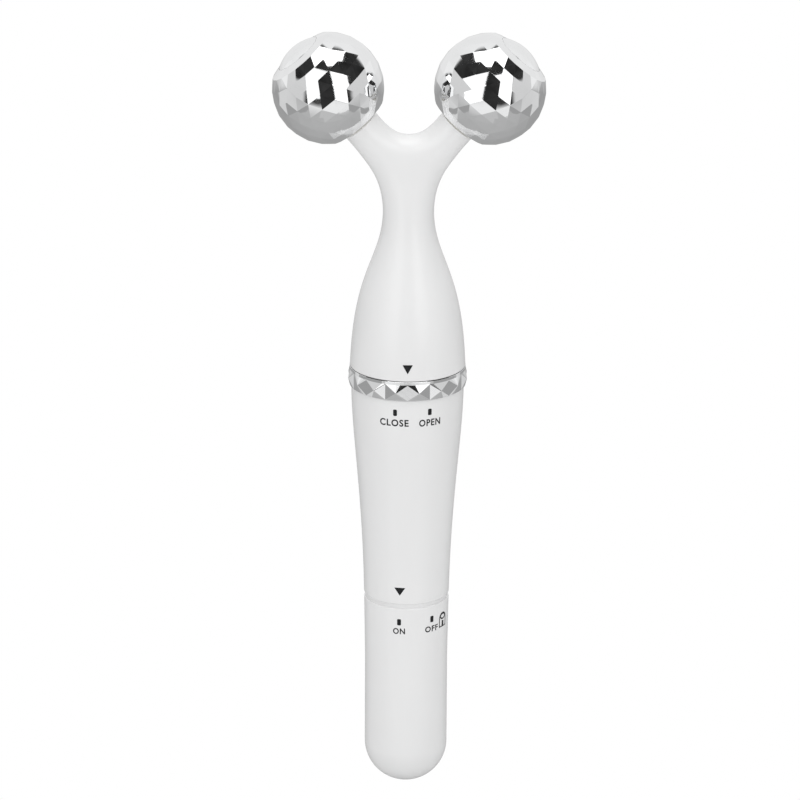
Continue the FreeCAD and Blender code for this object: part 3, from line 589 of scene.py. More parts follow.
@dataclass
class TrimRing:
    """Bright ring of four-sided studs between the grip and the head, with a smooth rim above the studs."""

    foot_z: float
    top_z: float
    corner_r: float = 13.75
    stud_r: float = 14.3
    bore_r: float = 12.03
    studs: int = 16
    rim_h: float = 0.6
    rim_lift: float = 0.15
    arc_cuts: int = 5
    ridge_deg: float = 8.0
    crease_deg: float = 3.0
    edge_bevel: float = 0.05

    def build(self) -> Object:
        """Builds the ring.

        Returns:
            The piece that stands for its solid.
        """
        side = [(self.corner_r, self.foot_z), (self.corner_r, self.top_z - self.rim_h)]
        bm = turned(side, closed=False, steps=self.studs)
        flat_r = self.corner_r * math.cos(math.pi / self.studs)
        bmesh.ops.poke(bm, faces=bm.faces[:], offset=self.stud_r - flat_r)
        self._round_rims(bm)
        rim_z = self.top_z + self.rim_lift
        upper = [e for e in bm.edges if e.is_boundary and e.verts[0].co.z > self.foot_z + self.rim_h]
        drawn_through(bm, upper, [(self.corner_r, rim_z), (self.bore_r, rim_z), (self.bore_r, self.foot_z)])
        ridges = [e for e in bm.edges if e.calc_face_angle_signed(0.0) > math.radians(self.ridge_deg)]
        bevelled(bm, ridges, self.edge_bevel)
        return stand_in(bm, "stud_ring", TRIM_CHROME, "handle", "trim_ring", self.crease_deg)

    def _round_rims(self, bm: BMesh) -> None:
        """Makes the studs' upper and lower edges follow a circle, fanned out from each stud's tip.

        Args:
            bm: the studs, open above and below.
        """
        chords = [e for e in bm.edges if e.is_boundary]
        bmesh.ops.subdivide_edges(bm, edges=chords, cuts=self.arc_cuts, use_single_edge=True)
        for vert in bm.verts:
            if vert.is_boundary:
                vert.co.xy = vert.co.xy.normalized() * self.corner_r


@dataclass
class Roller:
    """One faceted bright ball with its outer dome and its inner collar.

    The ball is drawn on the Z axis, its centre at zero and its outer pole up, and then set on its axle.
    """

    side: Side
    centre: Vector
    axis: Vector
    radius: float = 13.15
    wall: float = 1.9
    pole_wall: float = 2.8
    inner_flat_r: float = 7.85
    outer_flat_r: float = 8.35
    rim_rise: float = 0.8
    rim_lip: float = 0.15
    rim_land: float = 0.1
    rows: int = 8
    facets: int = 22
    facet_bevel: float = 0.05
    facet_crown: float = 0.035
    crease_deg: float = 5.0
    collar_r: float = 5.6
    collar_t: float = 1.4
    collar_proud: float = 0.2
    collar_bore_r: float = 2.43
    dome_r: float = 5.7
    dome_rise: float = 1.65
    dome_depth: float = 2.0
    dome_room: Point = (3.4, 2.5)
    fit: float = 0.03
    hollow_points: int = 9
    crown_points: int = 24

    def build(self) -> list[Object]:
        """Builds the ball, its dome and its collar.

        Returns:
            The three pieces, each in place of its solid.
        """
        parts = ((self._shell(), "facet_ball", BALL_CHROME, "roller_shell", self.crease_deg),
                 (self._dome(), "pole_dome", TRIM_CHROME, "end_dome", CREASE_DEG),
                 (self._collar(), "pole_collar", PALE_COLLAR, "inner_collar", CREASE_DEG))
        label = self.side.label
        pieces = []
        for bm, name, finish, node, crease in parts:
            self._set_on_axle(bm)
            piece = stand_in(bm, f"{name}_{label}", finish, f"{label}_roller", f"{node}_{label}", crease)
            # A bright ball hands on the light that it keeps off, so it doesn't dim the plastic beside it.
            piece.visible_diffuse = False
            pieces.append(piece)
        return pieces

    @property
    def inner_flat(self) -> float:
        """Distance from the centre to the flat at the inner pole."""
        return math.sqrt(self.radius ** 2 - self.inner_flat_r ** 2)

    @property
    def outer_flat(self) -> float:
        """Distance from the centre to the flat at the outer pole."""
        return math.sqrt(self.radius ** 2 - self.outer_flat_r ** 2)

    def _set_on_axle(self, bm: BMesh) -> None:
        """Turns and moves a mesh from the Z axis to the ball's axle."""
        turn = Vector((0, 0, 1)).rotation_difference(self.axis).to_matrix().to_4x4()
        bmesh.ops.transform(bm, matrix=Matrix.Translation(self.centre) @ turn, verts=bm.verts[:])

    def _shell(self) -> BMesh:
        """Draws the hollow ball of slightly crowned triangles.

        Returns:
            Its mesh, with a hole at each pole.
        """
        bm = bmesh.new()
        low = math.asin(-self.inner_flat / self.radius)
        high = math.asin(self.outer_flat / self.radius)
        for row in range(self.rows + 1):
            latitude = low + (high - low) * row / self.rows
            place = Matrix.Translation((0, 0, self.radius * math.sin(latitude)))
            turn = Matrix.Rotation(math.pi / self.facets * (row % 2) - math.pi / 2, 4, "Z")
            corner_ring(bm, self.facets, self.radius * math.cos(latitude), place @ turn)
        bmesh.ops.convex_hull(bm, input=bm.verts[:])
        poles = [f for f in bm.faces if abs(f.normal.z) > UPRIGHT]
        bmesh.ops.delete(bm, geom=poles, context="FACES")
        facet_edges = bm.edges[:]
        self._line_inside(bm)
        bevelled(bm, facet_edges, self.facet_bevel)
        bevel_area = self.facet_bevel * self.radius
        facets = [f for f in bm.faces if len(f.verts) == 3 and f.calc_area() > bevel_area]
        bmesh.ops.poke(bm, faces=facets, offset=self.facet_crown)
        return bm

    def _line_inside(self, bm: BMesh) -> None:
        """Gives the ball its pole holes and its hollow, from the outer rim through to the inner one.

        Args:
            bm: the facets, open at both poles.
        """
        to_corner = 1.0 / math.cos(math.pi / self.facets)
        dome_hole = (self.dome_r + self.fit) * to_corner
        collar_hole = (self.collar_r + self.fit) * to_corner
        hollow_r = self.radius - self.wall
        top_z = self.outer_flat - self.pole_wall
        foot_z = self.pole_wall - self.inner_flat
        start = math.degrees(math.asin(top_z / hollow_r))
        end = math.degrees(math.asin(foot_z / hollow_r))
        rim_z = self.outer_flat + self.rim_rise
        rim_r = (self.dome_r + self.rim_lip) * to_corner
        path = [(self.outer_flat_r - self.rim_land, self.outer_flat), (rim_r, rim_z), (dome_hole, rim_z),
                (dome_hole, top_z), *arc((0, 0), hollow_r, start, end, self.hollow_points),
                (collar_hole, foot_z), (collar_hole, -self.inner_flat)]
        drawn_through(bm, [e for e in bm.edges if e.is_boundary and e.verts[0].co.z > 0], path)

    def _dome(self) -> BMesh:
        """Draws the smooth plug on the outer pole, hollow for the axle's screw.

        Returns:
            Its mesh.
        """
        base = self.outer_flat + self.rim_rise
        crown_r = (self.dome_r ** 2 + self.dome_rise ** 2) / (2 * self.dome_rise)
        rim_deg = math.degrees(math.acos(self.dome_r / crown_r))
        foot = self.outer_flat - self.dome_depth
        room_r, room_h = self.dome_room
        crown = arc((0, base + self.dome_rise - crown_r), crown_r, 90, rim_deg, self.crown_points)
        profile = crown + [(self.dome_r, foot), (room_r, foot), (room_r, foot + room_h), (0, foot + room_h)]
        profile[0] = (0.0, base + self.dome_rise)
        return turned(profile, closed=False, steps=SMALL_STEPS)

    def _collar(self) -> BMesh:
        """Draws the smooth disc beside the arm, with a soft edge.

        Returns:
            Its mesh.
        """
        face = -(self.inner_flat + self.collar_proud)
        back = face + self.collar_t
        soft = self.collar_proud
        edge = arc((self.collar_r - soft, face + soft), soft, 270, 360, EDGE_POINTS)
        profile = [(self.collar_bore_r, back), (self.collar_bore_r, face)] + edge + [(self.collar_r, back)]
        return turned(profile, closed=True, steps=SMALL_STEPS)


@dataclass
class Head:
    """White Y-shaped head: a bell that narrows to a neck, and a fork whose arms carry the balls.

    It is drawn as one coarse cage of a few corners round the bell and round each arm, made smooth by
    subdivision and then parted on the plane of the arms into a front and a rear moulding.
    """

    foot_z: float
    ball_centre: Vector
    ball_flat: float
    arm_axis: Vector
    foot_r: float = 13.66
    low: Point = (12.92, 23.8)
    high: Point = (6.25, 12.3)
    neck_r: float = 5.93
    height: float = 37.9
    wall: float = 1.6
    crown_drop: float = 8.0
    fork_rise: float = 7.7
    arm_r: float = 4.55
    saddle_r: float = 7.1
    ball_gap: float = 1.12
    axle_hole_r: float = 1.53
    axle_hole_l: float = 4.0
    soft_edge: float = 0.3
    foot_edge: float = 0.15
    parting_gap: float = 0.06
    bell_rings: int = 14
    fork_levels: int = 3
    bell_corners: int = 20
    arm_corners: int = 12
    bend_steps: int = 4
    bend_inside: float = 0.9
    arm_cuts: tuple[float, ...] = (0.35, 0.75)
    arm_end_ring: float = 0.7
    fork_share: float = 0.72
    smooth_levels: int = 3

    def build(self) -> list[Object]:
        """Builds both mouldings.

        Returns:
            The front and the rear piece, each in place of its solid.
        """
        smooth = self._smoothed(self._cage())
        pieces = [stand_in(self._cut(smooth, half), f"{half.value}_moulding", WHITE_PLASTIC, "head",
                           f"{half.value}_shell") for half in Half]
        bpy.data.meshes.remove(smooth)
        return pieces

    @property
    def neck_z(self) -> float:
        """Height of the narrowest part."""
        return self.foot_z + self.height

    @property
    def bend_r(self) -> float:
        """Radius of the arms' centre line round the saddle."""
        return self.saddle_r + self.arm_r

    @property
    def arm_cage_r(self) -> float:
        """Radius of the cage round an arm."""
        return self.arm_r * self.spread(math.tau / self.arm_corners)

    @property
    def bend_z(self) -> float:
        """Height of the middle of the saddle's curve."""
        return self.neck_z + self.fork_rise + self.bend_r / self.arm_axis.x

    @staticmethod
    def spread(step: float) -> float:
        """Returns a cage's radius as a share of its smooth round's, from the angle between two corners."""
        return 3.0 / (2.0 + math.cos(step))

    def bell(self, count: int) -> list[Point]:
        """Points on the outside of the bell, from its foot to the neck.

        Args:
            count: number of points.

        Returns:
            The (radius, height) points in order.
        """
        low = (self.low[0], self.foot_z + self.low[1])
        high = (self.high[0], self.neck_z - self.high[1])
        return swept_curve((self.foot_r, self.foot_z), low, high, (self.neck_r, self.neck_z), count)

    def _cage(self) -> BMesh:
        """Draws the coarse cage of the whole head.

        Returns:
            Its mesh.
        """
        bm = bmesh.new()
        hole = self._bent_tube(bm)
        top = self._bell_cage(bm)
        bmesh.ops.bridge_loops(bm, edges=hole + top)
        bmesh.ops.recalc_face_normals(bm, faces=bm.faces[:])
        return bm

    def _bent_tube(self, bm: BMesh) -> list[BMEdge]:
        """Draws both arms and the saddle as one bent tube, open underneath between the arms.

        Args:
            bm: the mesh that gets the tube.

        Returns:
            The edges of the open underside.
        """
        tilt = math.atan2(self.arm_axis.z, self.arm_axis.x)
        middle = Vector((0, 0, self.bend_z))
        start = (Matrix.Translation(middle) @ Matrix.Rotation(tilt, 4, "Y")
                 @ Matrix.Translation((0, 0, -self.bend_r)) @ Matrix.Rotation(math.pi / 2, 4, "Y"))
        ring, edges = corner_ring(bm, self.arm_corners, self.arm_cage_r, start)
        bmesh.ops.spin(bm, geom=ring + edges, cent=middle, axis=(0, 1, 0), dvec=(0, 0, 0), angle=-2 * tilt,
                       steps=self.bend_steps, use_merge=False)
        bend = bm.faces[:]
        for side in Side:
            self._arm_cage(bm, side, tilt)
        underside = []
        for face in bend:
            spot = face.calc_center_median()
            if math.hypot(spot.x, spot.z - self.bend_z) > self.bend_r:
                underside.append(face)
        bmesh.ops.delete(bm, geom=underside, context="FACES")
        reach = self.spread(2 * tilt / self.bend_steps)
        within = tilt * self.bend_inside
        inner = [v for v in bm.verts if math.atan2(abs(v.co.x), self.bend_z - v.co.z) < within]
        to_bend = Matrix.Translation(-middle)
        bmesh.ops.scale(bm, vec=(reach, 1.0, reach), space=to_bend, verts=inner)
        return [e for e in bm.edges if e.is_boundary]

    def _arm_cage(self, bm: BMesh, side: Side, tilt: float) -> None:
        """Lengthens the tube to one arm's end, rounds its edge and sinks the axle's hole.

        Args:
            bm: the mesh with the bend.
            side: which arm it is.
            tilt: the arm's angle above level.
        """
        axis = Vector((side.value * self.arm_axis.x, 0, self.arm_axis.z))
        centre = Vector((side.value * self.ball_centre.x, 0, self.ball_centre.z))
        end = centre - axis * (self.ball_flat + self.ball_gap)
        from_bend = Matrix.Rotation(-side.value * tilt, 3, "Y") @ Vector((0, 0, -self.bend_r))
        root = Vector((0, 0, self.bend_z)) + from_bend
        loop = [e for e in bm.edges if all(abs((v.co - root).dot(axis)) < ON_PLANE for v in e.verts)]
        length = (end - root).length
        soft = self.soft_edge
        rim = 1.0 - soft / self.arm_r
        hole = self.axle_hole_r / self.arm_r
        hole_edge = (self.axle_hole_r + soft) / self.arm_r
        steps = [(length * share, 1.0) for share in self.arm_cuts]
        steps += [(length - soft, 1.0), (length, 1.0), (length, rim), (length, self.arm_end_ring),
                  (length, hole_edge), (length, hole), (length - soft, hole),
                  (length - self.axle_hole_l, hole)]
        for along, share in steps:
            verts, loop = extruded(bm, loop)
            for vert in verts:
                off = vert.co - root
                off -= axis * off.dot(axis)
                vert.co = root + axis * along + off.normalized() * self.arm_cage_r * share
        bmesh.ops.contextual_create(bm, geom=loop)

    def _bell_cage(self, bm: BMesh) -> list[BMEdge]:
        """Draws the bell, its inner wall and the root of the fork.

        Args:
            bm: the mesh that gets the rings.

        Returns:
            The edges of the open top ring.
        """
        outline = self.bell(self.bell_rings)
        crown_z = self.neck_z - self.crown_drop
        inside = [(r - self.wall, z) for r, z in outline if z < crown_z]
        outer, inner, edge = self.foot_r, self.foot_r - self.wall, self.foot_edge
        lip = ((inner, edge), (inner, 0.0), (inner + edge, 0.0),
               (outer - edge, 0.0), (outer, 0.0), (outer, edge))
        sides = inside[:0:-1] + [(r, self.foot_z + lift) for r, lift in lip] + outline[1:]
        rings = [(r, r, z) for r, z in sides] + self._fork_rings()
        grow = self.spread(math.tau / self.bell_corners)
        first, loop = corner_ring(bm, self.bell_corners, 1.0, Matrix())
        self._shape_ring(bm, first, rings[0], grow)
        bmesh.ops.contextual_create(bm, geom=loop)
        for ring in rings[1:]:
            verts, loop = extruded(bm, loop)
            self._shape_ring(bm, verts, ring, grow)
        return loop

    @staticmethod
    def _shape_ring(bm: BMesh, verts: list[BMVert], ring: tuple[float, float, float],
                    grow: float) -> None:
        """Sets a ring of corners to its two half widths and its height.

        Args:
            bm: the mesh with the ring.
            verts: the ring's corners.
            ring: half width across, half depth and height.
            grow: how far outside the round the cage lies.
        """
        half_x, half_y, height = ring
        reach_x = max(v.co.x for v in verts)
        reach_y = max(v.co.y for v in verts)
        bmesh.ops.scale(bm, vec=(half_x * grow / reach_x, half_y * grow / reach_y, 1.0), verts=verts)
        bmesh.ops.translate(bm, vec=(0, 0, height - verts[0].co.z), verts=verts)

    def _fork_rings(self) -> list[tuple[float, float, float]]:
        """Rings of the waist that widens from the round neck, its side an arc tangent to neck and arm.

        Returns:
            Half width, half depth and height of each ring.
        """
        slope = self.arm_axis.z / self.arm_axis.x
        tilt = math.atan(slope)
        below_arm = self.neck_z + self.fork_rise - self.arm_r * self.arm_axis.x
        corner_z = below_arm + (self.neck_r - self.arm_r * self.arm_axis.z) * slope
        flare = (corner_z - self.neck_z) / math.tan((math.pi / 2 - tilt) / 2)
        rise = self.bend_z - self.bend_r - self.neck_z
        rings = []
        for level in range(1, self.fork_levels + 1):
            climb = rise * self.fork_share * level / self.fork_levels
            half_x = self.neck_r + flare - math.sqrt(flare ** 2 - climb ** 2)
            half_y = self.neck_r + (self.arm_r - self.neck_r) * climb / rise
            rings.append((half_x, half_y, self.neck_z + climb))
        return rings

    def _smoothed(self, cage: BMesh) -> Mesh:
        """Makes the cage smooth by subdivision.

        Args:
            cage: the cage, which is freed.

        Returns:
            The smooth mesh.
        """
        mesh = bpy.data.meshes.new("head_cage")
        cage.to_mesh(mesh)
        cage.free()
        holder = bpy.data.objects.new("head_cage", mesh)
        subdivide = holder.modifiers.new("smooth", "SUBSURF")
        subdivide.levels = self.smooth_levels
        subdivide.render_levels = self.smooth_levels
        subdivide.use_limit_surface = True
        return as_shown(holder)

    def _cut(self, smooth: Mesh, half: Half) -> BMesh:
        """Cuts one moulding from the smooth head.

        Args:
            smooth: the whole head.
            half: the moulding that is kept.

        Returns:
            The closed half.
        """
        bm = bmesh.new()
        bm.from_mesh(smooth)
        rear = half is Half.REAR
        plane_y = self.parting_gap / 2 if rear else -self.parting_gap / 2
        cut = bmesh.ops.bisect_plane(bm, geom=bm.verts[:] + bm.edges[:] + bm.faces[:], dist=COARSE_WELD,
                                     plane_co=(0, plane_y, 0), plane_no=(0, 1, 0),
                                     clear_outer=not rear, clear_inner=rear)["geom_cut"]
        edges = [e for e in cut if isinstance(e, BMEdge)]
        bmesh.ops.holes_fill(bm, edges=edges, sides=0)
        bmesh.ops.recalc_face_normals(bm, faces=bm.faces[:])
        return bm


def radius_at(outline: list[Point], z: float) -> float:
    """Radius of a turned surface at a height.

    Args:
        outline: (radius, height) points from the foot up.
        z: the height.

    Returns:
        The radius between the two nearest points.
    """
    for (r0, z0), (r1, z1) in zip(outline, outline[1:]):
        if z0 <= z <= z1:
            return r0 + (r1 - r0) * (z - z0) / (z1 - z0)
    raise ValueError(f"the surface doesn't reach {z}")


@dataclass
class Print:
    """One dark mark printed on a round surface, drawn flat and then laid on it.

    The flat drawing has its middle at zero, with millimetres to the right and up as seen from the front. The
    angle counts from the front to the right, and the outline is the surface's (radius, height) points.
    """

    name: str
    body: str
    angle_deg: float
    height: float
    outline: list[Point]
    ink_t: float = 0.02
    strip_w: float = 0.4

    def build(self) -> Object:
        """Prints the mark.

        Returns:
            The mark as a thin piece on its surface.
        """
        bm = self.drawn()
        self._cut_strips(bm)
        self._thicken(bm)
        self._lay(bm)
        piece = as_piece(bm, self.name, INK, self.body)
        return piece

    def drawn(self) -> BMesh:
        """Returns the flat drawing, which each kind of mark makes for itself."""
        raise NotImplementedError

    def _cut_strips(self, bm: BMesh) -> None:
        """Cuts the drawing into upright strips, so that it can bend.

        Args:
            bm: the flat drawing.
        """
        reach = max(abs(v.co.x) for v in bm.verts)
        cuts = int(reach / self.strip_w)
        for i in range(-cuts, cuts + 1):
            bmesh.ops.bisect_plane(bm, geom=bm.verts[:] + bm.edges[:] + bm.faces[:], dist=WELD,
                                   plane_co=(i * self.strip_w, 0, 0), plane_no=(1, 0, 0))

    def _thicken(self, bm: BMesh) -> None:
        """Gives the drawing the ink's thickness, with its faces outwards.

        Args:
            bm: the flat drawing.
        """
        bm.normal_update()
        bmesh.ops.reverse_faces(bm, faces=[f for f in bm.faces if f.normal.z < 0])
        bmesh.ops.translate(bm, vec=(0, 0, self.ink_t), verts=raised(bm, bm.faces[:]))

    def _lay(self, bm: BMesh) -> None:
        """Lays the drawing on its surface.

        Args:
            bm: the drawing, its thickness along Z.
        """
        for vert in bm.verts:
            z = self.height + vert.co.y
            radius = radius_at(self.outline, z)
            angle = math.radians(self.angle_deg) + vert.co.x / radius
            out = radius + vert.co.z
            vert.co = Vector((out * math.sin(angle), -out * math.cos(angle), z))


@dataclass
class Tick(Print):
    """Short upright bar over a word."""

    width: float = 0.93
    length: float = 1.6
    corner_share: float = 2 / 7
    corner_steps: int = 4

    def drawn(self) -> BMesh:
        """Draws the bar with its corners rounded.

        Returns:
            The flat drawing.
        """
        bm = bmesh.new()
        bmesh.ops.create_grid(bm, x_segments=1, y_segments=1, size=0.5)
        bmesh.ops.scale(bm, vec=(self.width, self.length, 1.0), verts=bm.verts[:])
        bevelled(bm, bm.verts[:], self.width * self.corner_share, self.corner_steps, Rounding.CORNERS)
        return bm


@dataclass
class Arrow(Print):
    """Triangle that points down at the marks below it."""

    width: float = 2.35
    length: float = 2.0
    corner_share: float = 0.04
    corner_steps: int = 3

    def drawn(self) -> BMesh:
        """Draws the triangle with its corners slightly rounded.

        Returns:
            The flat drawing.
        """
        bm = bmesh.new()
        half_w, half_l = self.width / 2, self.length / 2
        corners = ((-half_w, half_l, 0), (0, -half_l, 0), (half_w, half_l, 0))
        bm.faces.new([bm.verts.new(corner) for corner in corners])
        bevelled(bm, bm.verts[:], self.width * self.corner_share, self.corner_steps, Rounding.CORNERS)
        return bm


@dataclass
class Word(Print):
    """Printed word."""

    text: str = ""
    length: float = 5.0
    cap_h: float = 1.75
    weight: float = 0.024
    spacing: float = 1.14
    curve_steps: int = 4

    def drawn(self) -> BMesh:
        """Draws the letters, scaled to the word's length and height.

        Returns:
            The flat drawing.
        """
        curve = bpy.data.curves.new(self.name, "FONT")
        curve.body = self.text
        curve.resolution_u = self.curve_steps
        curve.offset = self.weight
        curve.space_character = self.spacing
        curve.fill_mode = "FRONT"
        mesh = as_shown(bpy.data.objects.new(self.name, curve))
        bm = bmesh.new()
        bm.from_mesh(mesh)
        bpy.data.meshes.remove(mesh)
        bmesh.ops.remove_doubles(bm, verts=bm.verts[:], dist=COARSE_WELD)
        xs = [v.co.x for v in bm.verts]
        ys = [v.co.y for v in bm.verts]
        to_middle = (-(min(xs) + max(xs)) / 2, -(min(ys) + max(ys)) / 2, 0)
        bmesh.ops.translate(bm, vec=to_middle, verts=bm.verts[:])
        stretch = (self.length / (max(xs) - min(xs)), self.cap_h / (max(ys) - min(ys)), 1.0)
        bmesh.ops.scale(bm, vec=stretch, verts=bm.verts[:])
        return bm


@dataclass
class Padlock(Print):
    """Small padlock sign beside OFF."""

    width: float = 2.9
    length: float = 3.7
    line: float = 0.26
    eye: Point = (1.15, 0.82)
    eye_rise: float = 0.86
    eye_line: float = 0.36
    key_w: float = 0.7
    key_h: float = 1.3
    arch_points: int = 17
    eye_points: int = 18

    def drawn(self) -> BMesh:
        """Draws the lock's outline, its ring and its keyhole.

        Returns:
            The flat drawing.
        """
        bm = bmesh.new()
        half_w, half_h = self.width / 2, self.length / 2
        foot = self.line - half_h
        shoulder = half_h - half_w
        inset = half_w - self.line
        arch, inner_arch = (arc((0, shoulder), r, 0, 180, self.arch_points) for r in (half_w, inset))
        self._band(bm, [(-half_w, -half_h), (half_w, -half_h)] + arch,
                   [(-inset, foot), (inset, foot)] + inner_arch)
        ring = arc((0, 0), 1.0, 0, 360 - 360 / self.eye_points, self.eye_points)
        outer_x, outer_y = self.eye
        hole_x, hole_y = outer_x - self.eye_line, outer_y - self.eye_line
        self._band(bm, [(x * outer_x, y * outer_y + self.eye_rise) for x, y in ring],
                   [(x * hole_x, y * hole_y + self.eye_rise) for x, y in ring])
        side = self.key_w / 2
        bar = [(-side, foot), (side, foot), (side, foot + self.key_h), (-side, foot + self.key_h)]
        bm.faces.new([bm.verts.new((x, y, 0)) for x, y in bar])
        return bm

    @staticmethod
    def _band(bm: BMesh, outer: list[Point], inner: list[Point]) -> None:
        """Fills the band between two closed outlines of as many points.

        Args:
            bm: the mesh that gets the band.
            outer: points of the outer outline.
            inner: points of the inner one.
        """
        edges = []
        for outline in (outer, inner):
            verts = [bm.verts.new((x, y, 0)) for x, y in outline]
            edges += [bm.edges.new(pair) for pair in zip(verts, verts[1:] + verts[:1])]
        bmesh.ops.bridge_loops(bm, edges=edges)


def laid_sheet(name: str, material: Material, centre: Point, half: Point, height: float) -> Object:
    """Lays a plain level sheet of the studio.

    Args:
        name: the sheet's name.
        material: its surface.
        centre: its middle.
        half: half its width and half its depth.
        height: how high it lies.

    Returns:
        The sheet.
    """
    bm = bmesh.new()
    place = Matrix.Translation((*centre, height)) @ Matrix.Diagonal((*half, 1.0, 1.0))
    bmesh.ops.create_grid(bm, x_segments=1, y_segments=1, size=1.0, matrix=place)
    sheet = as_object(bm, name, material)
    return sheet


@dataclass(frozen=True)
class SoftBox:
    """One soft light, given by where it stands as seen from the object."""

    name: str
    side_deg: tuple[float, float]
    rise_deg: tuple[float, float]
    radiance: float
    distance: float = 800.0

    def build(self, aim: Vector) -> None:
        """Hangs the light, facing the object.

        Args:
            aim: the point that it faces.
        """
        reach = self.distance * MM
        side = math.radians(sum(self.side_deg) / 2)
        rise = math.radians(sum(self.rise_deg) / 2)
        half_w = math.radians(self.side_deg[1] - self.side_deg[0]) / 2
        half_h = math.radians(self.rise_deg[1] - self.rise_deg[0]) / 2
        light = bpy.data.lights.new(self.name, "AREA")
        light.shape = "RECTANGLE"
        light.size = 2 * reach * math.tan(half_w)
        light.size_y = 2 * reach * math.tan(half_h)
        light.energy = self.radiance * math.pi * light.size * light.size_y
        lamp = bpy.data.objects.new(self.name, light)
        turn = Matrix.Rotation(side, 3, "Z")
        towards = turn @ Matrix.Rotation(-rise, 3, "X") @ Vector((0, -1, 0))
        lamp.location = aim * MM + towards * reach
        lamp.rotation_euler = (turn @ Matrix.Rotation(math.pi / 2 - rise, 3, "X")).to_euler()
        bpy.context.scene.collection.objects.link(lamp)


@dataclass(frozen=True)
class FloorCard:
    """A card that lies on the floor and shows in glossy surfaces only."""

    name: str
    centre: Point
    half: Point
    level: float

    def build(self, floor_z: float) -> None:
        """Lays the card.

        Args:
            floor_z: height of the floor.
        """
        paper = bpy.data.materials.new(self.name)
        tree = cleared_tree(paper)
        output = tree.nodes.new("ShaderNodeOutputMaterial")
        glow = tree.nodes.new("ShaderNodeEmission")
        glow.inputs["Strength"].default_value = self.level
        tree.links.new(glow.outputs["Emission"], output.inputs["Surface"])
        card = laid_sheet(self.name, paper, self.centre, self.half, floor_z)
        card.visible_camera = False
        card.visible_diffuse = False
        card.visible_shadow = False


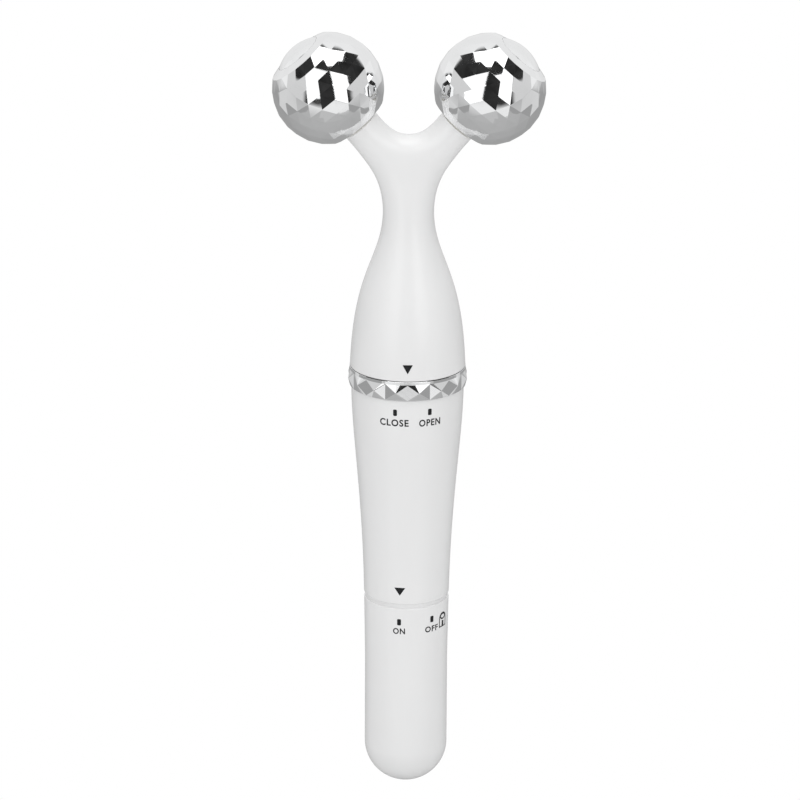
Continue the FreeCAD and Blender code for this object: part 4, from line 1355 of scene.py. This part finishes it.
@dataclass
class Studio:
    """White sweep behind, dim room in front, soft boxes, a pale floor with its cards, and the camera.

    Each level is the light from an angle, in degrees up from the level front and on over the top, with one
    list for the middle of the room and one for its sides.
    """

    foot_z: float
    target: tuple[float, float, float] = (-1.763, 0.0, 86.531)
    rise_deg: float = 19.215
    roll_deg: float = 0.287
    distance: float = 1584.0
    focal_px: float = 6682.0
    image_px: float = 800.0
    sensor_mm: float = 36.0
    view_end: float = 20000.0
    floor_gap: float = 0.5
    floor_half: float = 1500.0
    floor_grey: float = 0.85
    boxes: tuple[SoftBox, ...] = (
        SoftBox("box_left", side_deg=(-50.0, -18.0), rise_deg=(-9.0, 51.0), radiance=1.15),
        SoftBox("box_right", side_deg=(18.0, 46.0), rise_deg=(-5.0, 49.0), radiance=1.35),
        SoftBox("box_above", side_deg=(-25.0, 25.0), rise_deg=(69.0, 106.0), radiance=2.0),
    )
    cards: tuple[FloorCard, ...] = (
        FloorCard("card_left", centre=(-285.0, -60.0), half=(60.0, 155.0), level=0.36),
        FloorCard("card_right", centre=(285.0, -60.0), half=(60.0, 155.0), level=0.36),
        FloorCard("card_near", centre=(0.0, -145.0), half=(75.0, 20.0), level=0.50),
        FloorCard("card_middle", centre=(0.0, -190.0), half=(85.0, 25.0), level=0.56),
        FloorCard("card_front", centre=(168.0, -260.0), half=(35.0, 45.0), level=0.9),
    )
    round_levels: tuple[Point, ...] = (
        (-180.0, 0.80), (-172.0, 0.75), (-162.0, 0.33), (-135.0, 0.34), (-112.0, 0.38), (-88.0, 0.42),
        (-70.0, 0.44), (-43.0, 0.45), (-37.0, 0.72), (-33.0, 0.86), (-24.0, 0.90), (-19.2, 0.80),
        (-17.6, 0.0), (109.5, 0.0), (112.0, 0.90), (140.0, 0.85), (180.0, 0.83),
    )
    side_levels: tuple[Point, ...] = (
        (-180.0, 0.80), (-172.0, 0.75), (-162.0, 0.36), (-157.0, 0.33), (-148.0, 0.68), (-79.0, 0.66),
        (-61.0, 0.66), (-33.0, 0.48), (-22.0, 0.66), (100.0, 0.68), (125.0, 0.90),
    )
    side_edge: float = 0.76
    side_top: float = 0.42
    fill: float = 0.52
    soften: float = 0.03
    mottle: float = 0.06
    mottle_scale: float = 9.0

    def build(self) -> None:
        """Sets up the floor, the lights, the surroundings and the camera."""
        floor_z = self.foot_z - self.floor_gap
        self._floor(floor_z)
        self._surroundings()
        for box in self.boxes:
            box.build(Vector(self.target))
        for card in self.cards:
            card.build(floor_z)
        self._camera()

    def _camera(self) -> None:
        """Sets the camera at the photographed viewing angle."""
        lens = bpy.data.cameras.new("view")
        lens.sensor_width = self.sensor_mm
        lens.lens = self.focal_px / self.image_px * lens.sensor_width
        lens.clip_end = self.view_end * MM
        camera = bpy.data.objects.new("view", lens)
        rise = math.radians(self.rise_deg)
        back = Vector((0, -math.cos(rise), math.sin(rise)))
        camera.location = (Vector(self.target) + back * self.distance) * MM
        roll = Matrix.Rotation(math.radians(self.roll_deg), 3, "Z")
        camera.rotation_euler = (Matrix.Rotation(math.pi / 2 - rise, 3, "X") @ roll).to_euler()
        bpy.context.scene.collection.objects.link(camera)
        bpy.context.scene.camera = camera
        bpy.context.scene.view_settings.view_transform = "Standard"

    def _floor(self, floor_z: float) -> None:
        """Lays a pale floor under the object, plain white where it is looked at straight.

        Args:
            floor_z: its height.
        """
        paint = bpy.data.materials.new("floor_paint")
        tree = cleared_tree(paint)
        add, join = tree.nodes.new, tree.links.new
        output = add("ShaderNodeOutputMaterial")
        matt = add("ShaderNodeBsdfDiffuse")
        matt.inputs["Color"].default_value = (self.floor_grey, self.floor_grey, self.floor_grey, 1.0)
        white = add("ShaderNodeEmission")
        path = add("ShaderNodeLightPath")
        mix = add("ShaderNodeMixShader")
        join(path.outputs["Is Camera Ray"], mix.inputs["Fac"])
        join(matt.outputs["BSDF"], mix.inputs[1])
        join(white.outputs["Emission"], mix.inputs[2])
        join(mix.outputs["Shader"], output.inputs["Surface"])
        floor = laid_sheet("floor", paint, (0.0, 0.0), (self.floor_half, self.floor_half), floor_z)
        floor.visible_glossy = False

    def _surroundings(self) -> None:
        """Surrounds the object with the sweep and the dim room, white where it is looked at straight."""
        world = bpy.data.worlds.new("studio")
        bpy.context.scene.world = world
        tree = cleared_tree(world)
        add, join = tree.nodes.new, tree.links.new
        output = add("ShaderNodeOutputWorld")
        light = add("ShaderNodeBackground")
        place = add("ShaderNodeTexCoord")
        axes = add("ShaderNodeSeparateXYZ")
        join(place.outputs["Generated"], axes.inputs["Vector"])
        forward = self._maths(tree, "MULTIPLY", axes.outputs["Y"], -1.0)
        climb = self._maths(tree, "ARCTAN2", axes.outputs["Z"], forward)
        turn = self._maths(tree, "MULTIPLY_ADD", climb, 1.0 / math.tau, 0.5)
        middle = self._levels(tree, turn, self.round_levels)
        sides = self._levels(tree, turn, self.side_levels)
        across = self._maths(tree, "ABSOLUTE", axes.outputs["X"])
        above = self._step(tree, axes.outputs["Z"], self.side_top)
        beside = self._step(tree, across, self.side_edge)
        aside = self._maths(tree, "MULTIPLY", beside, self._maths(tree, "SUBTRACT", 1.0, above))
        change = self._maths(tree, "SUBTRACT", sides, middle)
        level = self._maths(tree, "MULTIPLY_ADD", aside, change, middle)
        clutter = add("ShaderNodeTexNoise")
        clutter.inputs["Scale"].default_value = self.mottle_scale
        join(place.outputs["Generated"], clutter.inputs["Vector"])
        level = self._maths(tree, "MULTIPLY_ADD", clutter.outputs["Fac"], self.mottle, level)
        path = add("ShaderNodeLightPath")
        matt = self._maths(tree, "SUBTRACT", self.fill, level)
        level = self._maths(tree, "MULTIPLY_ADD", path.outputs["Is Diffuse Ray"], matt, level)
        seen = self._maths(tree, "MAXIMUM", level, path.outputs["Is Camera Ray"])
        join(seen, light.inputs["Strength"])
        join(light.outputs["Background"], output.inputs["Surface"])
        light.inputs["Color"].default_value = (1.0, 1.0, 1.0, 1.0)

    @staticmethod
    def _levels(tree: NodeTree, turn: NodeSocket, levels: tuple[Point, ...]) -> NodeSocket:
        """Adds a ramp of light levels round the object.

        Args:
            tree: the tree that gets the node.
            turn: the angle round the object, from 0 to 1.
            levels: (degrees, level) in order.

        Returns:
            The socket with the level.
        """
        ramp = tree.nodes.new("ShaderNodeValToRGB")
        stops = ramp.color_ramp.elements
        while len(stops) < len(levels):
            stops.new(1.0)
        for stop, (degrees, level) in zip(stops, levels):
            stop.position = degrees / 360.0 + 0.5
            stop.color = (level, level, level, 1.0)
        tree.links.new(turn, ramp.inputs["Fac"])
        return ramp.outputs["Color"]

    @staticmethod
    def _maths(tree: NodeTree, operation: str, *values: NodeSocket | float) -> NodeSocket:
        """Adds one sum.

        Args:
            tree: the tree that gets the node.
            operation: what it works out.
            values: sockets or plain numbers, in order.

        Returns:
            The socket with the result.
        """
        node = tree.nodes.new("ShaderNodeMath")
        node.operation = operation
        for socket, value in zip(node.inputs, values):
            if isinstance(value, float):
                socket.default_value = value
            else:
                tree.links.new(value, socket)
        return node.outputs["Value"]

    def _step(self, tree: NodeTree, value: NodeSocket, edge: float) -> NodeSocket:
        """Adds a soft step from 0 to 1.

        Args:
            tree: the tree that gets the node.
            value: the socket to compare.
            edge: where the step is halfway.

        Returns:
            The socket with the result.
        """
        node = tree.nodes.new("ShaderNodeMapRange")
        node.interpolation_type = "SMOOTHSTEP"
        node.inputs["From Min"].default_value = edge - self.soften / 2
        node.inputs["From Max"].default_value = edge + self.soften / 2
        tree.links.new(value, node.inputs["Value"])
        return node.outputs["Result"]


def printed_marks(head: Head, sleeve: HandleSleeve, cap: EndCap) -> list[Print]:
    """The generic switch marks: arrows, ticks and words on the head, the grip and the cap.

    Args:
        head: the head that carries one arrow.
        sleeve: the grip that carries the other arrow and OPEN and CLOSE.
        cap: the cap that carries ON, OFF and the padlock.

    Returns:
        Every mark, ready to build.
    """
    bell, grip, barrel = head.bell(BELL_POINTS), sleeve.grip(), cap.barrel()
    grip_top, grip_foot, rim = sleeve.top_z, sleeve.foot_z, cap.rim_z
    return [
        Arrow("mark_head_arrow", "head", 0.0, head.foot_z + 2.95, bell, width=2.4, length=2.2),
        Tick("mark_close_tick", "handle", -12.7, grip_top - 3.15, grip),
        Tick("mark_open_tick", "handle", 23.4, grip_top - 3.15, grip),
        Word("mark_close", "handle", -14.0, grip_top - 5.7, grip, text="CLOSE", length=7.0),
        Word("mark_open", "handle", 24.0, grip_top - 5.8, grip, text="OPEN", length=5.45),
        Arrow("mark_grip_arrow", "handle", -9.0, grip_foot + 3.35, grip, width=2.65, length=2.0),
        Tick("mark_on_tick", "end_cap", -9.9, rim - 3.3, barrel),
        Tick("mark_off_tick", "end_cap", 37.4, rim - 3.15, barrel),
        Word("mark_on", "end_cap", -10.0, rim - 5.6, barrel, text="ON", length=2.9, cap_h=1.5),
        Word("mark_off", "end_cap", 37.6, rim - 5.6, barrel, text="OFF", length=3.8, cap_h=1.5),
        Padlock("mark_padlock", "end_cap", 59.7, rim - 4.25, barrel),
    ]


def node_box(node: str) -> tuple[Vector, Vector]:
    """Returns the lowest and the highest corner of a solid, in millimetres."""
    low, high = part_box(node)
    return Vector(low) / MM, Vector(high) / MM


def main() -> None:
    """Builds every piece around the solid model and sets up the studio."""
    logging.basicConfig(level=logging.INFO, format="%(message)s")
    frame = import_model()
    for finish in CAD_FINISHES:
        finish.material()
    joints = {joint["name"]: joint for joint in frame["joints"]}
    ring_low, ring_high = node_box("trim_ring")
    cap_low, cap_high = node_box("end_cap")
    sleeve_low, sleeve_high = node_box("handle_sleeve")
    head_low = node_box("head_front_shell")[0]

    cap = EndCap(radius=-cap_low.z, rim_z=cap_high.z)
    sleeve = HandleSleeve(foot_z=sleeve_low.z, spigot_z=sleeve_high.z, top_z=ring_low.z)
    ring = TrimRing(foot_z=ring_low.z, top_z=ring_high.z)
    for part in (cap, sleeve, ring):
        part.build()
    for side in Side:
        spin = joints[f"{side.label}_roller_spin"]
        roller = Roller(side, Vector(spin["pos_m"]) / MM, Vector(spin["axis"]))
        roller.build()
    head = Head(head_low.z, roller.centre, roller.inner_flat, roller.axis)
    head.build()
    for mark in printed_marks(head, sleeve, cap):
        mark.build()
    Studio(foot_z=cap_low.z).build()


if __name__ == "__main__":
    main()
